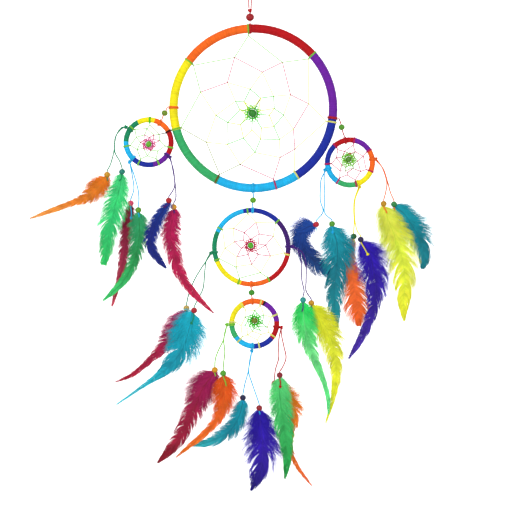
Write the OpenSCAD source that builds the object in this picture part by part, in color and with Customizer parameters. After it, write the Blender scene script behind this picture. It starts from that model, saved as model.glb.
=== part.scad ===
// Five-hoop hanging web ornament: thread-wrapped hoops, knotted webs, wooden beads and cord
// tassels that end in dyed feathers. Millimetres, +Z up, the front faces -Y.
// The origin is where a hook bears, inside the top of the hanging loop.

/* [Main hoop] */
// Outside diameter of the main hoop over its wrapping
main_od = 160; // [140:1:192]
// Thickness of the main hoop over its wrapping
main_tube = 8.4; // [6:0.2:11]

/* [Middle hoop] */
// Outside diameter of the middle hoop over its wrapping
middle_od = 75; // [62:1:90]
// Thickness of the middle hoop over its wrapping
middle_tube = 4.8; // [4:0.2:6.4]

/* [Small hoops] */
// Outside diameter of the left, right and lower hoops over their wrapping
small_od = 48; // [40:1:58]
// Thickness of the small hoops over their wrapping
small_tube = 5.2; // [4.2:0.2:6.4]

/* [Wrapping] */
// Thickness of the wound thread on each hoop
wrap_t = 0.9; // [0.5:0.1:1.2]

/* [Web] */
// Diameter of the web thread
web_d = 0.8; // [0.5:0.1:1]

/* [Cord] */
// Diameter of the waxed cord
cord_d = 1.2; // [0.9:0.1:1.5]
// Length of the hanging loop from its knot to the hook
loop_drop = 50; // [30:1:90]
// Diameter of the knot below the hanging loop
knot_d = 3.2; // [2.6:0.2:4.4]

/* [Beads] */
// Diameter of the bead above the main hoop and of the bead in the main web
big_bead = 8; // [7:0.5:9.5]
// Diameter of every other bead
small_bead = 6; // [5:0.5:7]
// Diameter of the hole through every bead
bead_hole = 2; // [1.8:0.1:2.4]

/* [Feathers] */
// Thickness of a feather's vane
vane_t = 0.8; // [0.5:0.1:1]
// Diameter of a feather's quill where it enters its bead
quill_d = 1.2; // [0.8:0.1:1.4]

/* [Hidden] */
$fn = 48;

// Clearances
fit = 0.1;         // between a wound thread and what it is wound on
seam = 0.15;       // between two colours of wrapping, and between hooked web threads
hang_gap = 0.7;    // from a tie round a hoop to the hinge point that it carries
bead_gap = 0.6;    // from the end of a strand to the bead below it

// Wrapping, web and paint colours
RED = [0.73, 0.06, 0.08];
ORANGE = [1, 0.45, 0.14];
YELLOW = [1, 0.93, 0.16];
GREEN = [0.2, 0.7, 0.43];
SEA = [0.12, 0.53, 0.39];
CYAN = [0.12, 0.75, 0.96];
BLUE = [0.12, 0.2, 0.65];
PURPLE = [0.45, 0.16, 0.65];
PLUM = [0.27, 0.12, 0.43];
LIME = [0.55, 0.85, 0.3];
PINK = [0.85, 0.15, 0.4];
TEAL = [0.06, 0.63, 0.72];
MINT = [0.3, 0.85, 0.5];
LEMON = [0.85, 0.98, 0.25];
CRIMSON = [0.59, 0.1, 0.18];
VIOLET = [0.22, 0.08, 0.65];

// Points around a hoop lie in the XZ plane, at an angle counted from +X towards +Z
function polar(r, a) = [r * cos(a), 0, r * sin(a)];
function unit(v) = v / norm(v);

// A hoop is [centre, outside diameter, tube diameter]
function hoop_rho(h) = (h[1] - h[2]) / 2;
function tie_reach(tube) = tube / 2 + fit + cord_d + hang_gap;
// The point outside the tie at angle a whose direction from the tube's centre leans back by lean
function hinge_at(h, a, lean = 0) =
    h[0] + polar(hoop_rho(h) + tie_reach(h[2]) * cos(lean), a) + [0, tie_reach(h[2]) * sin(lean), 0];
// The hoop that hangs from a hinge point by a tie at angle a
function hung_hoop(p, a, od, tube) = [p - polar((od - tube) / 2 + tie_reach(tube), a), od, tube];

// The cord through the top bead runs from the loop's knot to the main hoop's tie
top_bead_len = big_bead + 2 * bead_gap;
knot_z = -loop_drop - knot_d / 2;
top_bead_z = knot_z - knot_d / 2 - seam - bead_gap - big_bead / 2;
main_hinge = [0, 0, top_bead_z - top_bead_len / 2];
main_hang = 92.2;
main = hung_hoop(main_hinge, main_hang, main_od, main_tube);

// Links: where each leaves its upper hoop, how far it runs, and where it ties its lower hoop
small_link = small_bead + 2 * bead_gap;
middle_from = 270;
middle_run = [-0.5, 0, -10.5];
middle_hang = 88;
left_from = 179.5;
left_run = [-4.5, 0, -10.5];
left_hang = 60;
right_from = 353;
right_run = [5, 0, -16];
right_hang = 102;
lower_from = 270;
lower_run = [0.5, 0, -small_link];
lower_hang = 95;
middle = hung_hoop(hinge_at(main, middle_from) + middle_run, middle_hang, middle_od, middle_tube);
left = hung_hoop(hinge_at(main, left_from) + left_run, left_hang, small_od, small_tube);
right = hung_hoop(hinge_at(main, right_from) + right_run, right_hang, small_od, small_tube);
lower = hung_hoop(hinge_at(middle, lower_from) + lower_run, lower_hang, small_od, small_tube);

// Wrapping: the angle at which each colour starts, counted round the hoop
MAIN_WRAP = [[43, RED], [92, ORANGE], [144, YELLOW], [196, GREEN], [244, CYAN], [302, BLUE],
    [352, PURPLE]];
MIDDLE_WRAP = [[43, BLUE], [102, CYAN], [154, SEA], [203, YELLOW], [253, ORANGE], [299, RED],
    [350, PLUM]];
LEFT_WRAP = [[28, ORANGE], [74, YELLOW], [118, SEA], [177, CYAN], [223, BLUE], [281, PURPLE],
    [331, RED]];
RIGHT_WRAP = [[30, PURPLE], [80, RED], [132, BLUE], [186, CYAN], [241, GREEN], [288, YELLOW],
    [334, ORANGE]];
LOWER_WRAP = [[6, PURPLE], [65, ORANGE], [120, YELLOW], [178, SEA], [217, CYAN], [269, BLUE],
    [319, RED]];

// Webs: where the first thread turns round the hoop, and how far out each row of knots lies
MAIN_TURNS = [42, 94, 144, 191, 243, 286, 303, 350];
MIDDLE_TURNS = [45, 96, 149, 200, 250, 298, 348];
LEFT_TURNS = [29, 87, 139, 190, 245, 296, 347];
RIGHT_TURNS = [32, 79, 132, 184, 237, 285, 337];
LOWER_TURNS = [22, 73, 124, 175, 228, 282, 327];
MAIN_ROWS = [1, 0.75, 0.53, 0.34, 0.19];
MIDDLE_ROWS = [1, 0.66, 0.44, 0.26];
SMALL_ROWS = [1, 0.66, 0.42];

// Each web's bead hangs a little off its hoop's centre
MAIN_BEAD = [-1, 0, -5];
MIDDLE_BEAD = [-0.5, 0, 1.5];
LEFT_BEAD = [0, 0, -2];
RIGHT_BEAD = [-1, 0, 3];
LOWER_BEAD = [0, 0, 2.5];

// Tassels: [hoop, tie angle, depth of strand a, depth of strand b]
LEFT_OUTER = [left, 146, 2, -2];
LEFT_LOWER = [left, 226, 2, -2];
LEFT_INNER = [left, 325, -5, -1];
MIDDLE_LEFT = [middle, 188, 4.5, 0.5];
MIDDLE_RIGHT = [middle, 1, -4, 0];
RIGHT_INNER = [right, 196, 5.5, 1.5];
RIGHT_LOWER = [right, 292, 5, 1];
RIGHT_OUTER = [right, 8, 2, 4];
LOWER_LEFT = [lower, 182, 2, -2];
LOWER_BOTTOM = [lower, 265, 2.5, -1.5];
LOWER_RIGHT = [lower, 352, 1, -3];
ties = [LEFT_OUTER, LEFT_LOWER, LEFT_INNER, MIDDLE_LEFT, MIDDLE_RIGHT, RIGHT_INNER, RIGHT_LOWER,
    RIGHT_OUTER, LOWER_LEFT, LOWER_BOTTOM, LOWER_RIGHT];

// Strand routes, as [x, z] from the tassel's hinge point; the last point is above the bead
LEFT_OUTER_A = [[-4.5, -2], [-10, -9.5], [-11.5, -23], [-14.5, -34.5], [-18, -41.5]];
LEFT_OUTER_B = [[-4.5, -1], [-9.5, -9.5], [-10.5, -23], [-6, -32], [-3.5, -39]];
LEFT_LOWER_A = [[2.5, -13], [4, -25.5], [1, -35.5]];
LEFT_LOWER_B = [[4.5, -13], [8, -25.5], [9, -34.5], [8.5, -42]];
LEFT_INNER_A = [[3, -10.5], [4.5, -22], [4, -29.5], [-1, -37.5]];
LEFT_INNER_B = [[2.5, -10.5], [4.5, -22], [5.5, -31.5], [5.5, -39], [3.5, -43.5]];
MIDDLE_LEFT_A = [[-4.5, -7.5], [-10.5, -16.5], [-16, -26], [-21, -38.5], [-23.5, -49]];
MIDDLE_LEFT_B = [[-4.5, -7.5], [-6, -18.5], [-7.5, -33.5], [-12.5, -44], [-16, -51]];
MIDDLE_RIGHT_A = [[5, -4], [8, -11.5], [8.5, -23], [9, -32.5], [11, -42], [10, -47]];
MIDDLE_RIGHT_B = [[6.5, -3], [11, -8.5], [13, -18], [13, -32.5], [13, -42], [18, -50]];
RIGHT_INNER_A = [[-3.5, -8.5], [-4.5, -18], [-4.5, -29.5], [-2, -40], [-8.5, -48.5]];
RIGHT_INNER_B = [[-1, -10.5], [-0.5, -20], [-0.5, -30.5], [-0.5, -41], [6.5, -48]];
RIGHT_LOWER_A = [[-4.5, -11], [-5.5, -20.5], [-5, -32], [-5.5, -43.5]];
RIGHT_LOWER_B = [[-4, -11], [-5, -20.5], [-4.5, -32], [-2.5, -41.5], [1, -46.5]];
RIGHT_OUTER_A = [[6.5, -9], [10.5, -22], [9.5, -31.5], [7.5, -39]];
RIGHT_OUTER_B = [[7, -9], [11.5, -22], [14, -31.5], [17.5, -39.5]];
LOWER_LEFT_A = [[-2, -7.5], [-3.5, -15], [-8.5, -25.5], [-11, -33], [-11.5, -39.5]];
LOWER_LEFT_B = [[-1.5, -7.5], [-3, -15], [-2, -26], [-3, -36], [-3.5, -42.5]];
LOWER_BOTTOM_A = [[-2, -9], [-3.5, -20], [-6.5, -31], [-8.5, -41]];
LOWER_BOTTOM_B = [[-1.5, -9], [-3, -20], [1, -33], [5, -44.5], [7, -50.5]];
LOWER_RIGHT_A = [[-2, -9.5], [-2.5, -19], [-2.5, -29.5], [-5.5, -40], [-6.5, -49.5]];
LOWER_RIGHT_B = [[0.5, -8.5], [2.5, -18], [4.5, -28.5], [1.5, -37], [-1.5, -41.5]];
// The hanging loop's right half, as [x, z] from its top down to the knot
LOOP = [[0, 0], [2.5, -1], [3.5, -4], [3, -9], [1.8, -16], [1.5, -26], [1.4, -38]];
loop_foot = [1, knot_d / 2 + seam + cord_d / 4];

// Feathers, as [x, z, width] from the centre of the bead that each hangs from
LEFT_ORANGE = [[-2.5, -6.5, 11], [-9, -14, 17], [-21.5, -23, 11], [-43.5, -31.5, 7.5],
    [-59, -36.5, 5.5], [-72.5, -41.5, 2.5]];
LEFT_GREEN = [[-1, -7, 7.5], [-2.5, -17.5, 15], [-7, -34, 20], [-12, -52, 18], [-15, -68, 14],
    [-17, -80.5, 8.5], [-18, -89, 4]];
LEFT_CRIMSON = [[-1, -10.5, 5.5], [-3.5, -24, 11], [-6, -45, 11], [-9, -67, 7.5],
    [-13, -83, 5.5], [-17.5, -98.5, 3]];
LEFT_EMERALD = [[0.5, -8, 9.5], [1, -19.5, 15], [-1, -33.5, 14], [-5.5, -48, 11.5],
    [-13, -64, 8.5], [-23, -76.5, 5.5], [-33.5, -86.5, 3]];
LEFT_BLUE = [[-3, -7.5, 5.5], [-8.5, -16, 7.5], [-13.5, -26.5, 8.5], [-16.5, -39, 8.5],
    [-12.5, -50.5, 6.5], [-7.5, -58, 5], [-2, -63.5, 2.5]];
LEFT_MAGENTA = [[0, -9, 9.5], [-1.5, -20.5, 12], [-1.5, -32.5, 14], [1.5, -47, 13.5],
    [6, -61, 10.5], [12.5, -73.5, 8.5], [22.5, -86, 6.5], [38, -101, 2.5]];
MIDDLE_MAGENTA = [[-6, -9.5, 13], [-15.5, -23, 17], [-26.5, -36, 13], [-40, -50.5, 7.5],
    [-53.5, -63, 5.5], [-67, -70, 2.5]];
MIDDLE_TEAL = [[-3.5, -8.5, 13], [-7.5, -21, 28], [-13.5, -36, 26], [-23, -49.5, 16],
    [-34.5, -60, 8.5], [-51.5, -72, 4], [-74, -89, 2.5]];
MIDDLE_MINT = [[0.5, -7, 9.5], [1.5, -23.5, 22], [5.5, -43.5, 18], [12, -59.5, 15],
    [19, -76.5, 11.5], [23, -92.5, 7.5], [23.5, -108, 3]];
MIDDLE_YELLOW = [[3.5, -6.5, 9.5], [9, -17, 19], [16, -33, 23], [21, -52, 18],
    [22.5, -72, 12.5], [19.5, -93, 6.5], [13.5, -114.5, 3]];
RIGHT_BLUE = [[-3, -5.5, 4], [-9, -7.5, 9], [-12.5, -14, 10], [-10, -22, 9.5],
    [-3, -31, 11.5], [6.5, -39, 11.5], [16.5, -46, 5.5]];
RIGHT_TEAL = [[1.5, -7, 11.5], [5, -18.5, 24], [5, -35, 27], [3, -52, 23], [2.5, -68, 14],
    [4, -87, 7.5]];
RIGHT_ORANGE = [[-1, -8, 5.5], [-3.5, -21, 13], [-2, -40, 22], [1.5, -59, 24], [3, -72.5, 19],
    [4, -82, 11.5]];
RIGHT_VIOLET = [[3, -6.5, 13], [8, -16, 24], [12, -30.5, 23], [13.5, -46.5, 17],
    [11.5, -65.5, 10.5], [5, -84.5, 9.5], [-3.5, -100.5, 6.5], [-11.5, -113.5, 3]];
RIGHT_YELLOW = [[2, -7, 11], [8.5, -21.5, 23], [15.5, -39.5, 24], [20, -57.5, 30],
    [21, -76.5, 28], [19.5, -91.5, 19], [18.5, -102, 11], [19, -111.5, 3]];
RIGHT_AQUA = [[6, -5.5, 7.5], [14, -14, 17], [20.5, -25.5, 23], [26, -37, 19],
    [33.5, -45.5, 4]];
LOWER_CRIMSON = [[-4.5, -7.5, 13], [-12.5, -20.5, 26], [-18.5, -34, 16], [-25.5, -49, 16],
    [-33, -61.5, 15], [-43, -75.5, 10.5], [-54, -87.5, 3]];
LOWER_ORANGE = [[1, -6.5, 13], [1.5, -19, 22], [-2, -33.5, 16], [-9, -46.5, 11],
    [-20.5, -59, 10], [-32.5, -69.5, 7.5], [-44.5, -80, 3]];
LOWER_TEAL = [[-1, -6.5, 9.5], [-3.5, -17, 14], [-10.5, -29, 13], [-21.5, -38.5, 8.5],
    [-35, -45, 4.5], [-45, -48.5, 2]];
LOWER_VIOLET = [[0.5, -7, 13], [1, -17.5, 27], [1.5, -38.5, 29], [0.5, -55.5, 26],
    [-3, -67, 15], [-7.5, -75.5, 5]];
LOWER_AMBER = [[4.5, -6.5, 7.5], [14, -20, 23], [16.5, -35, 15], [15.5, -54, 7.5],
    [17, -68.5, 5.5], [23.5, -82.5, 5], [34.5, -97, 3]];
LOWER_GREEN = [[0.5, -8, 9.5], [1.5, -20.5, 17], [3.5, -38.5, 15], [5.5, -60, 15],
    [6.5, -79, 10.5], [5, -98, 4]];

// ---- curves and sweeps ----

// Catmull-Rom curve through the points p, with n steps between neighbours
function ghost(p) = concat([2 * p[0] - p[1]], p, [2 * p[len(p) - 1] - p[len(p) - 2]]);
function mid_curve(a, b, c, d, t) =
    0.5 * (2 * b + (c - a) * t + (2 * a - 5 * b + 4 * c - d) * t * t
    + (3 * b - a - 3 * c + d) * t * t * t);
function smooth(p, n) = let (g = ghost(p)) concat(
    [for (i = [0:len(p) - 2], k = [0:n - 1]) mid_curve(g[i], g[i + 1], g[i + 2], g[i + 3], k / n)],
    [p[len(p) - 1]]);

// The direction of a path at its point i, and the two axes of the section there
function along(p, i) = unit(p[min(i + 1, len(p) - 1)] - p[max(i - 1, 0)]);
function across(t) = unit(cross([0, 1, 0], t));
function section(p, t, outline) =
    let (u = across(t), v = cross(t, u)) [for (q = outline) p + q[0] * u + q[1] * v];
function disc(r, n) = [for (k = [0:n - 1]) r * [cos(360 * k / n), sin(360 * k / n)]];
// A vane's section: a flat hexagon w wide and t thick
function blade(w, t) = [[w / 2, 0], [w / 4, t / 2], [-w / 4, t / 2], [-w / 2, 0],
    [-w / 4, -t / 2], [w / 4, -t / 2]];

function two_triangles(a, b, c, d) = [[a, b, c], [a, c, d]];

// Faces between m rings of n points that start at index s
function side_faces(m, n, s) = [for (i = [0:m - 2], k = [0:n - 1]) each
    two_triangles(s + i * n + k, s + (i + 1) * n + k, s + (i + 1) * n + (k + 1) % n,
        s + i * n + (k + 1) % n)];
function end_faces(m, n, s) =
    [[for (k = [0:n - 1]) s + k], [for (k = [n - 1:-1:0]) s + (m - 1) * n + k]];

// One solid from rings of equal length
module skin(rings) {
    n = len(rings[0]);
    m = len(rings);
    polyhedron([for (r = rings) each r], concat(side_faces(m, n, 0), end_faces(m, n, 0)));
}

// A round cord of diameter d along the path
module cord(path, d) {
    skin([for (i = [0:len(path) - 1]) section(path[i], along(path, i), disc(d / 2, 8))]);
}

// Closed zigzag threads, each a ring of six-sided sections that meets its own start
function miter(p, i) = let (n = len(p), a = unit(p[i] - p[(i + n - 1) % n]),
    b = unit(p[(i + 1) % n] - p[i])) unit(a + b);
module closed_thread(path, d) {
    m = len(path);
    n = 6;
    points = [for (i = [0:m - 1]) each section(path[i], miter(path, i), disc(d / 2, n))];
    faces = [for (i = [0:m - 1], k = [0:n - 1]) let (j = (i + 1) % m) each
        two_triangles(i * n + k, j * n + k, j * n + (k + 1) % n, i * n + (k + 1) % n)];
    polyhedron(points, faces);
}

// ---- parts that repeat ----

// Puts its children on a hoop's centre line at angle a, with Z along the hoop
module on_hoop(h, a) {
    translate(h[0]) rotate([0, -a, 0]) translate([hoop_rho(h), 0, 0]) children();
}

// A closed turn of thread or cord of diameter d round a hoop
module turn(h, a, d) {
    on_hoop(h, a) rotate_extrude() translate([h[2] / 2 + fit + d / 2, 0]) circle(d = d);
}

// The bare ring inside the wrapping
module core_ring(h) {
    color("tan") translate(h[0]) rotate([90, 0, 0])
        rotate_extrude() translate([hoop_rho(h), 0]) circle(r = h[2] / 2 - wrap_t - fit);
}

// The wound thread, one solid for each colour
module wrapping(h, colours) {
    n = len(colours);
    seam_angle = seam / hoop_rho(h) * 180 / PI;
    for (i = [0:n - 1]) {
        from = colours[i][0] + seam_angle / 2;
        to = (i < n - 1 ? colours[i + 1][0] : colours[0][0] + 360) - seam_angle / 2;
        color(colours[i][1]) translate(h[0]) rotate([90, 0, 0]) rotate([0, 0, from])
            rotate_extrude(angle = to - from) translate([hoop_rho(h), 0])
                difference() {
                    circle(d = h[2]);
                    circle(r = h[2] / 2 - wrap_t);
                }
    }
}

// The cord ties of a hoop: the one that it hangs by, its tassels', and its links'
module cord_ties(h, own, more, c) {
    color(c) {
        turn(h, own, cord_d);
        for (t = ties) if (t[0] == h) turn(h, t[1], cord_d);
        for (a = more) turn(h, a, cord_d);
    }
}

// The web's rows run between fractions of the hoop's clear radius
function row_angles(turns, odd) = let (n = len(turns)) [for (i = [0:n - 1])
    odd ? (turns[i] + (i < n - 1 ? turns[i + 1] : turns[0] + 360)) / 2 : turns[i]];
function clear_radius(h) = hoop_rho(h) - h[2] / 2 - fit - web_d * 1.5 - seam;
function web_point(h, off, f, a, pull) =
    h[0] + (1 - f) * off + polar(f * clear_radius(h) - pull, a);
function web_row(h, off, turns, rows, j, bead) =
    let (n = len(turns), last = j == len(rows) - 1,
        outer = row_angles(turns, j % 2 == 1), inner = row_angles(turns, j % 2 == 0),
        step = j % 2, pull = j == 0 ? 0 : web_d + seam)
    [for (i = [0:n - 1]) each [
        web_point(h, off, rows[j], outer[i], pull),
        last ? h[0] + off + polar(bead / 2 + web_d / 2 + seam, inner[(i + step) % n])
            : web_point(h, off, rows[j + 1], inner[(i + step) % n], 0)]];

module web(h, off, turns, rows, bead, outer_c, inner_c) {
    color(outer_c) for (a = turns) turn(h, a, web_d);
    for (j = [0:len(rows) - 1])
        color(j < 1 ? outer_c : inner_c)
            closed_thread(web_row(h, off, turns, rows, j, bead), web_d);
}

module bead(p, d) {
    translate(p) difference() {
        sphere(d = d, $fn = 96);
        cylinder(h = d + 1, d = bead_hole, center = true);
    }
}

// A bead on the straight cord from the hinge point p down to q
module link(p, q, c, bead_c) {
    t = unit(q - p);
    tilt = atan2(t[0], -t[2]);
    mid = (p + q) / 2;
    color(c) translate(mid) rotate([0, -tilt, 0])
        cylinder(h = norm(q - p) - 2 * fit, d = cord_d, center = true);
    color(bead_c) translate(mid) rotate([0, -tilt, 0]) bead([0, 0, 0], small_bead);
}

// Two strands part in depth as they leave the tie, a behind b or before it
tie_part = cord_d / 2 + seam;
function tassel_y(t) = (t[2] + t[3]) / 2;
function tassel_lean(t) = asin(tassel_y(t) / tie_reach(t[0][2]));
function tassel_hinge(t) = hinge_at(t[0], t[1], tassel_lean(t));
function strand_path(t, route, y) =
    let (p = tassel_hinge(t), n = len(route),
        lean = asin((tassel_y(t) + sign(y - tassel_y(t)) * tie_part) / tie_reach(t[0][2])),
        start = hinge_at(t[0], t[1], lean))
    concat([start], [for (i = [0:n - 1])
        [p[0] + route[i][0], start[1] + (y - start[1]) * (i + 1) / n, p[2] + route[i][1]]]);
module tassel(t, route_a, route_b, c) {
    color(c) {
        cord(smooth(strand_path(t, route_a, t[2]), 2), cord_d);
        cord(smooth(strand_path(t, route_b, t[3]), 2), cord_d);
    }
}

// The bead below a strand, and the feather whose quill enters it
function bead_under(t, route, y) =
    let (e = route[len(route) - 1], p = tassel_hinge(t))
    [p[0] + e[0], y, p[2] + e[1] - bead_gap - small_bead / 2];
module feather(t, route, y, spine, c, bead_c) {
    b = bead_under(t, route, y);
    quill = [[0, 0, quill_d], [0, -small_bead / 2 - 0.5, quill_d]];
    rows = smooth(concat(quill, spine), 2);
    path = [for (r = rows) b + [r[0], 0, r[1]]];
    color(bead_c) bead(b, small_bead);
    color(c) skin([for (i = [0:len(path) - 1])
        section(path[i], along(path, i), blade(max(rows[i][2], quill_d), vane_t))]);
}

// ---- hanging loop and top bead ----

module hanging_loop() {
    top = [0, 0, cord_d / 2];
    half = [for (q = LOOP) top + [q[0], 0, q[1] * loop_drop / 50]];
    foot = [loop_foot[0], 0, knot_z + loop_foot[1]];
    right_half = concat(half, [foot]);
    n = len(right_half);
    left_half = [for (i = [n - 1:-1:1]) [-right_half[i][0], 0, right_half[i][2]]];
    color(RED) {
        cord(smooth(concat(left_half, right_half), 2), cord_d);
        translate([0, 0, knot_z]) sphere(d = knot_d);
    }
}

module top_bead() {
    color(RED) translate([0, 0, top_bead_z])
        cylinder(h = top_bead_len - 2 * fit, d = cord_d, center = true);
    color(RED) bead([0, 0, top_bead_z], big_bead);
}

// ---- hoops ----

module main_ring() { core_ring(main); }
module main_wrap() {
    wrapping(main, MAIN_WRAP);
    cord_ties(main, main_hang, [middle_from, left_from, right_from], RED);
}
module main_web() { web(main, MAIN_BEAD, MAIN_TURNS, MAIN_ROWS, big_bead, LEMON, PINK); }
module main_web_bead() { color("limegreen") bead(main[0] + MAIN_BEAD, big_bead); }

module middle_ring() { core_ring(middle); }
module middle_wrap() {
    wrapping(middle, MIDDLE_WRAP);
    cord_ties(middle, middle_hang, [lower_from], CYAN);
}
module middle_web() {
    web(middle, MIDDLE_BEAD, MIDDLE_TURNS, MIDDLE_ROWS, small_bead, LEMON, PINK);
}
module middle_web_bead() { color("limegreen") bead(middle[0] + MIDDLE_BEAD, small_bead); }

module left_ring() { core_ring(left); }
module left_wrap() {
    wrapping(left, LEFT_WRAP);
    cord_ties(left, left_hang, [], SEA);
}
module left_web() { web(left, LEFT_BEAD, LEFT_TURNS, SMALL_ROWS, small_bead, LIME, PINK); }
module left_web_bead() { color("limegreen") bead(left[0] + LEFT_BEAD, small_bead); }

module right_ring() { core_ring(right); }
module right_wrap() {
    wrapping(right, RIGHT_WRAP);
    cord_ties(right, right_hang, [], CYAN);
}
module right_web() { web(right, RIGHT_BEAD, RIGHT_TURNS, SMALL_ROWS, small_bead, PINK, SEA); }
module right_web_bead() { color("limegreen") bead(right[0] + RIGHT_BEAD, small_bead); }

module lower_ring() { core_ring(lower); }
module lower_wrap() {
    wrapping(lower, LOWER_WRAP);
    cord_ties(lower, lower_hang, [], LIME);
}
module lower_web() { web(lower, LOWER_BEAD, LOWER_TURNS, SMALL_ROWS, small_bead, LEMON, LIME); }
module lower_web_bead() { color("olive") bead(lower[0] + LOWER_BEAD, small_bead); }

// ---- links ----

module middle_link() {
    link(hinge_at(main, middle_from), hinge_at(middle, middle_hang), CYAN, "limegreen");
}
module left_link() {
    link(hinge_at(main, left_from), hinge_at(left, left_hang), ORANGE, "olivedrab");
}
module right_link() {
    link(hinge_at(main, right_from), hinge_at(right, right_hang), CRIMSON, "green");
}
module lower_link() {
    link(hinge_at(middle, lower_from), hinge_at(lower, lower_hang), ORANGE, "green");
}

// ---- tassel cords ----

module left_outer_cord() { tassel(LEFT_OUTER, LEFT_OUTER_A, LEFT_OUTER_B, SEA); }
module left_lower_cord() { tassel(LEFT_LOWER, LEFT_LOWER_A, LEFT_LOWER_B, CYAN); }
module left_inner_cord() { tassel(LEFT_INNER, LEFT_INNER_A, LEFT_INNER_B, PLUM); }
module middle_left_cord() { tassel(MIDDLE_LEFT, MIDDLE_LEFT_A, MIDDLE_LEFT_B, SEA); }
module middle_right_cord() { tassel(MIDDLE_RIGHT, MIDDLE_RIGHT_A, MIDDLE_RIGHT_B, PLUM); }
module right_inner_cord() { tassel(RIGHT_INNER, RIGHT_INNER_A, RIGHT_INNER_B, CYAN); }
module right_lower_cord() { tassel(RIGHT_LOWER, RIGHT_LOWER_A, RIGHT_LOWER_B, YELLOW); }
module right_outer_cord() { tassel(RIGHT_OUTER, RIGHT_OUTER_A, RIGHT_OUTER_B, ORANGE); }
module lower_left_cord() { tassel(LOWER_LEFT, LOWER_LEFT_A, LOWER_LEFT_B, LIME); }
module lower_bottom_cord() { tassel(LOWER_BOTTOM, LOWER_BOTTOM_A, LOWER_BOTTOM_B, CYAN); }
module lower_right_cord() { tassel(LOWER_RIGHT, LOWER_RIGHT_A, LOWER_RIGHT_B, RED); }

// ---- feathers, each with the bead that it hangs from ----

module feather_a(t, route, spine, c, bead_c) { feather(t, route, t[2], spine, c, bead_c); }
module feather_b(t, route, spine, c, bead_c) { feather(t, route, t[3], spine, c, bead_c); }

module left_orange_feather() { feather_a(LEFT_OUTER, LEFT_OUTER_A, LEFT_ORANGE, ORANGE, "goldenrod"); }
module left_green_feather() { feather_b(LEFT_OUTER, LEFT_OUTER_B, LEFT_GREEN, GREEN, "teal"); }
module left_crimson_feather() { feather_a(LEFT_LOWER, LEFT_LOWER_A, LEFT_CRIMSON, CRIMSON, PINK); }
module left_emerald_feather() { feather_b(LEFT_LOWER, LEFT_LOWER_B, LEFT_EMERALD, SEA, "green"); }
module left_blue_feather() { feather_a(LEFT_INNER, LEFT_INNER_A, LEFT_BLUE, BLUE, RED); }
module left_magenta_feather() { feather_b(LEFT_INNER, LEFT_INNER_B, LEFT_MAGENTA, PINK, "goldenrod"); }
module middle_magenta_feather() {
    feather_a(MIDDLE_LEFT, MIDDLE_LEFT_A, MIDDLE_MAGENTA, PINK, "goldenrod");
}
module middle_teal_feather() { feather_b(MIDDLE_LEFT, MIDDLE_LEFT_B, MIDDLE_TEAL, TEAL, RED); }
module middle_mint_feather() { feather_a(MIDDLE_RIGHT, MIDDLE_RIGHT_A, MIDDLE_MINT, MINT, TEAL); }
module middle_yellow_feather() {
    feather_b(MIDDLE_RIGHT, MIDDLE_RIGHT_B, MIDDLE_YELLOW, LEMON, "goldenrod");
}
module right_blue_feather() { feather_a(RIGHT_INNER, RIGHT_INNER_A, RIGHT_BLUE, BLUE, RED); }
module right_teal_feather() { feather_b(RIGHT_INNER, RIGHT_INNER_B, RIGHT_TEAL, TEAL, "green"); }
module right_orange_feather() {
    feather_a(RIGHT_LOWER, RIGHT_LOWER_A, RIGHT_ORANGE, ORANGE, "darkgreen");
}
module right_violet_feather() { feather_b(RIGHT_LOWER, RIGHT_LOWER_B, RIGHT_VIOLET, VIOLET, PLUM); }
module right_yellow_feather() {
    feather_a(RIGHT_OUTER, RIGHT_OUTER_A, RIGHT_YELLOW, LEMON, "goldenrod");
}
module right_aqua_feather() { feather_b(RIGHT_OUTER, RIGHT_OUTER_B, RIGHT_AQUA, TEAL, "green"); }
module lower_crimson_feather() {
    feather_a(LOWER_LEFT, LOWER_LEFT_A, LOWER_CRIMSON, CRIMSON, "goldenrod");
}
module lower_orange_feather() { feather_b(LOWER_LEFT, LOWER_LEFT_B, LOWER_ORANGE, ORANGE, "green"); }
module lower_teal_feather() { feather_a(LOWER_BOTTOM, LOWER_BOTTOM_A, LOWER_TEAL, TEAL, "navy"); }
module lower_violet_feather() { feather_b(LOWER_BOTTOM, LOWER_BOTTOM_B, LOWER_VIOLET, VIOLET, RED); }
module lower_amber_feather() { feather_a(LOWER_RIGHT, LOWER_RIGHT_A, LOWER_AMBER, ORANGE, RED); }
module lower_green_feather() { feather_b(LOWER_RIGHT, LOWER_RIGHT_B, LOWER_GREEN, GREEN, CRIMSON); }

hanging_loop();
top_bead();
main_ring();
main_wrap();
main_web();
main_web_bead();
middle_ring();
middle_wrap();
middle_web();
middle_web_bead();
left_ring();
left_wrap();
left_web();
left_web_bead();
right_ring();
right_wrap();
right_web();
right_web_bead();
lower_ring();
lower_wrap();
lower_web();
lower_web_bead();
middle_link();
left_link();
right_link();
lower_link();
left_outer_cord();
left_lower_cord();
left_inner_cord();
middle_left_cord();
middle_right_cord();
right_inner_cord();
right_lower_cord();
right_outer_cord();
lower_left_cord();
lower_bottom_cord();
lower_right_cord();
left_orange_feather();
left_green_feather();
left_crimson_feather();
left_emerald_feather();
left_blue_feather();
left_magenta_feather();
middle_magenta_feather();
middle_teal_feather();
middle_mint_feather();
middle_yellow_feather();
right_blue_feather();
right_teal_feather();
right_orange_feather();
right_violet_feather();
right_yellow_feather();
right_aqua_feather();
lower_crimson_feather();
lower_orange_feather();
lower_teal_feather();
lower_violet_feather();
lower_amber_feather();
lower_green_feather();
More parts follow.
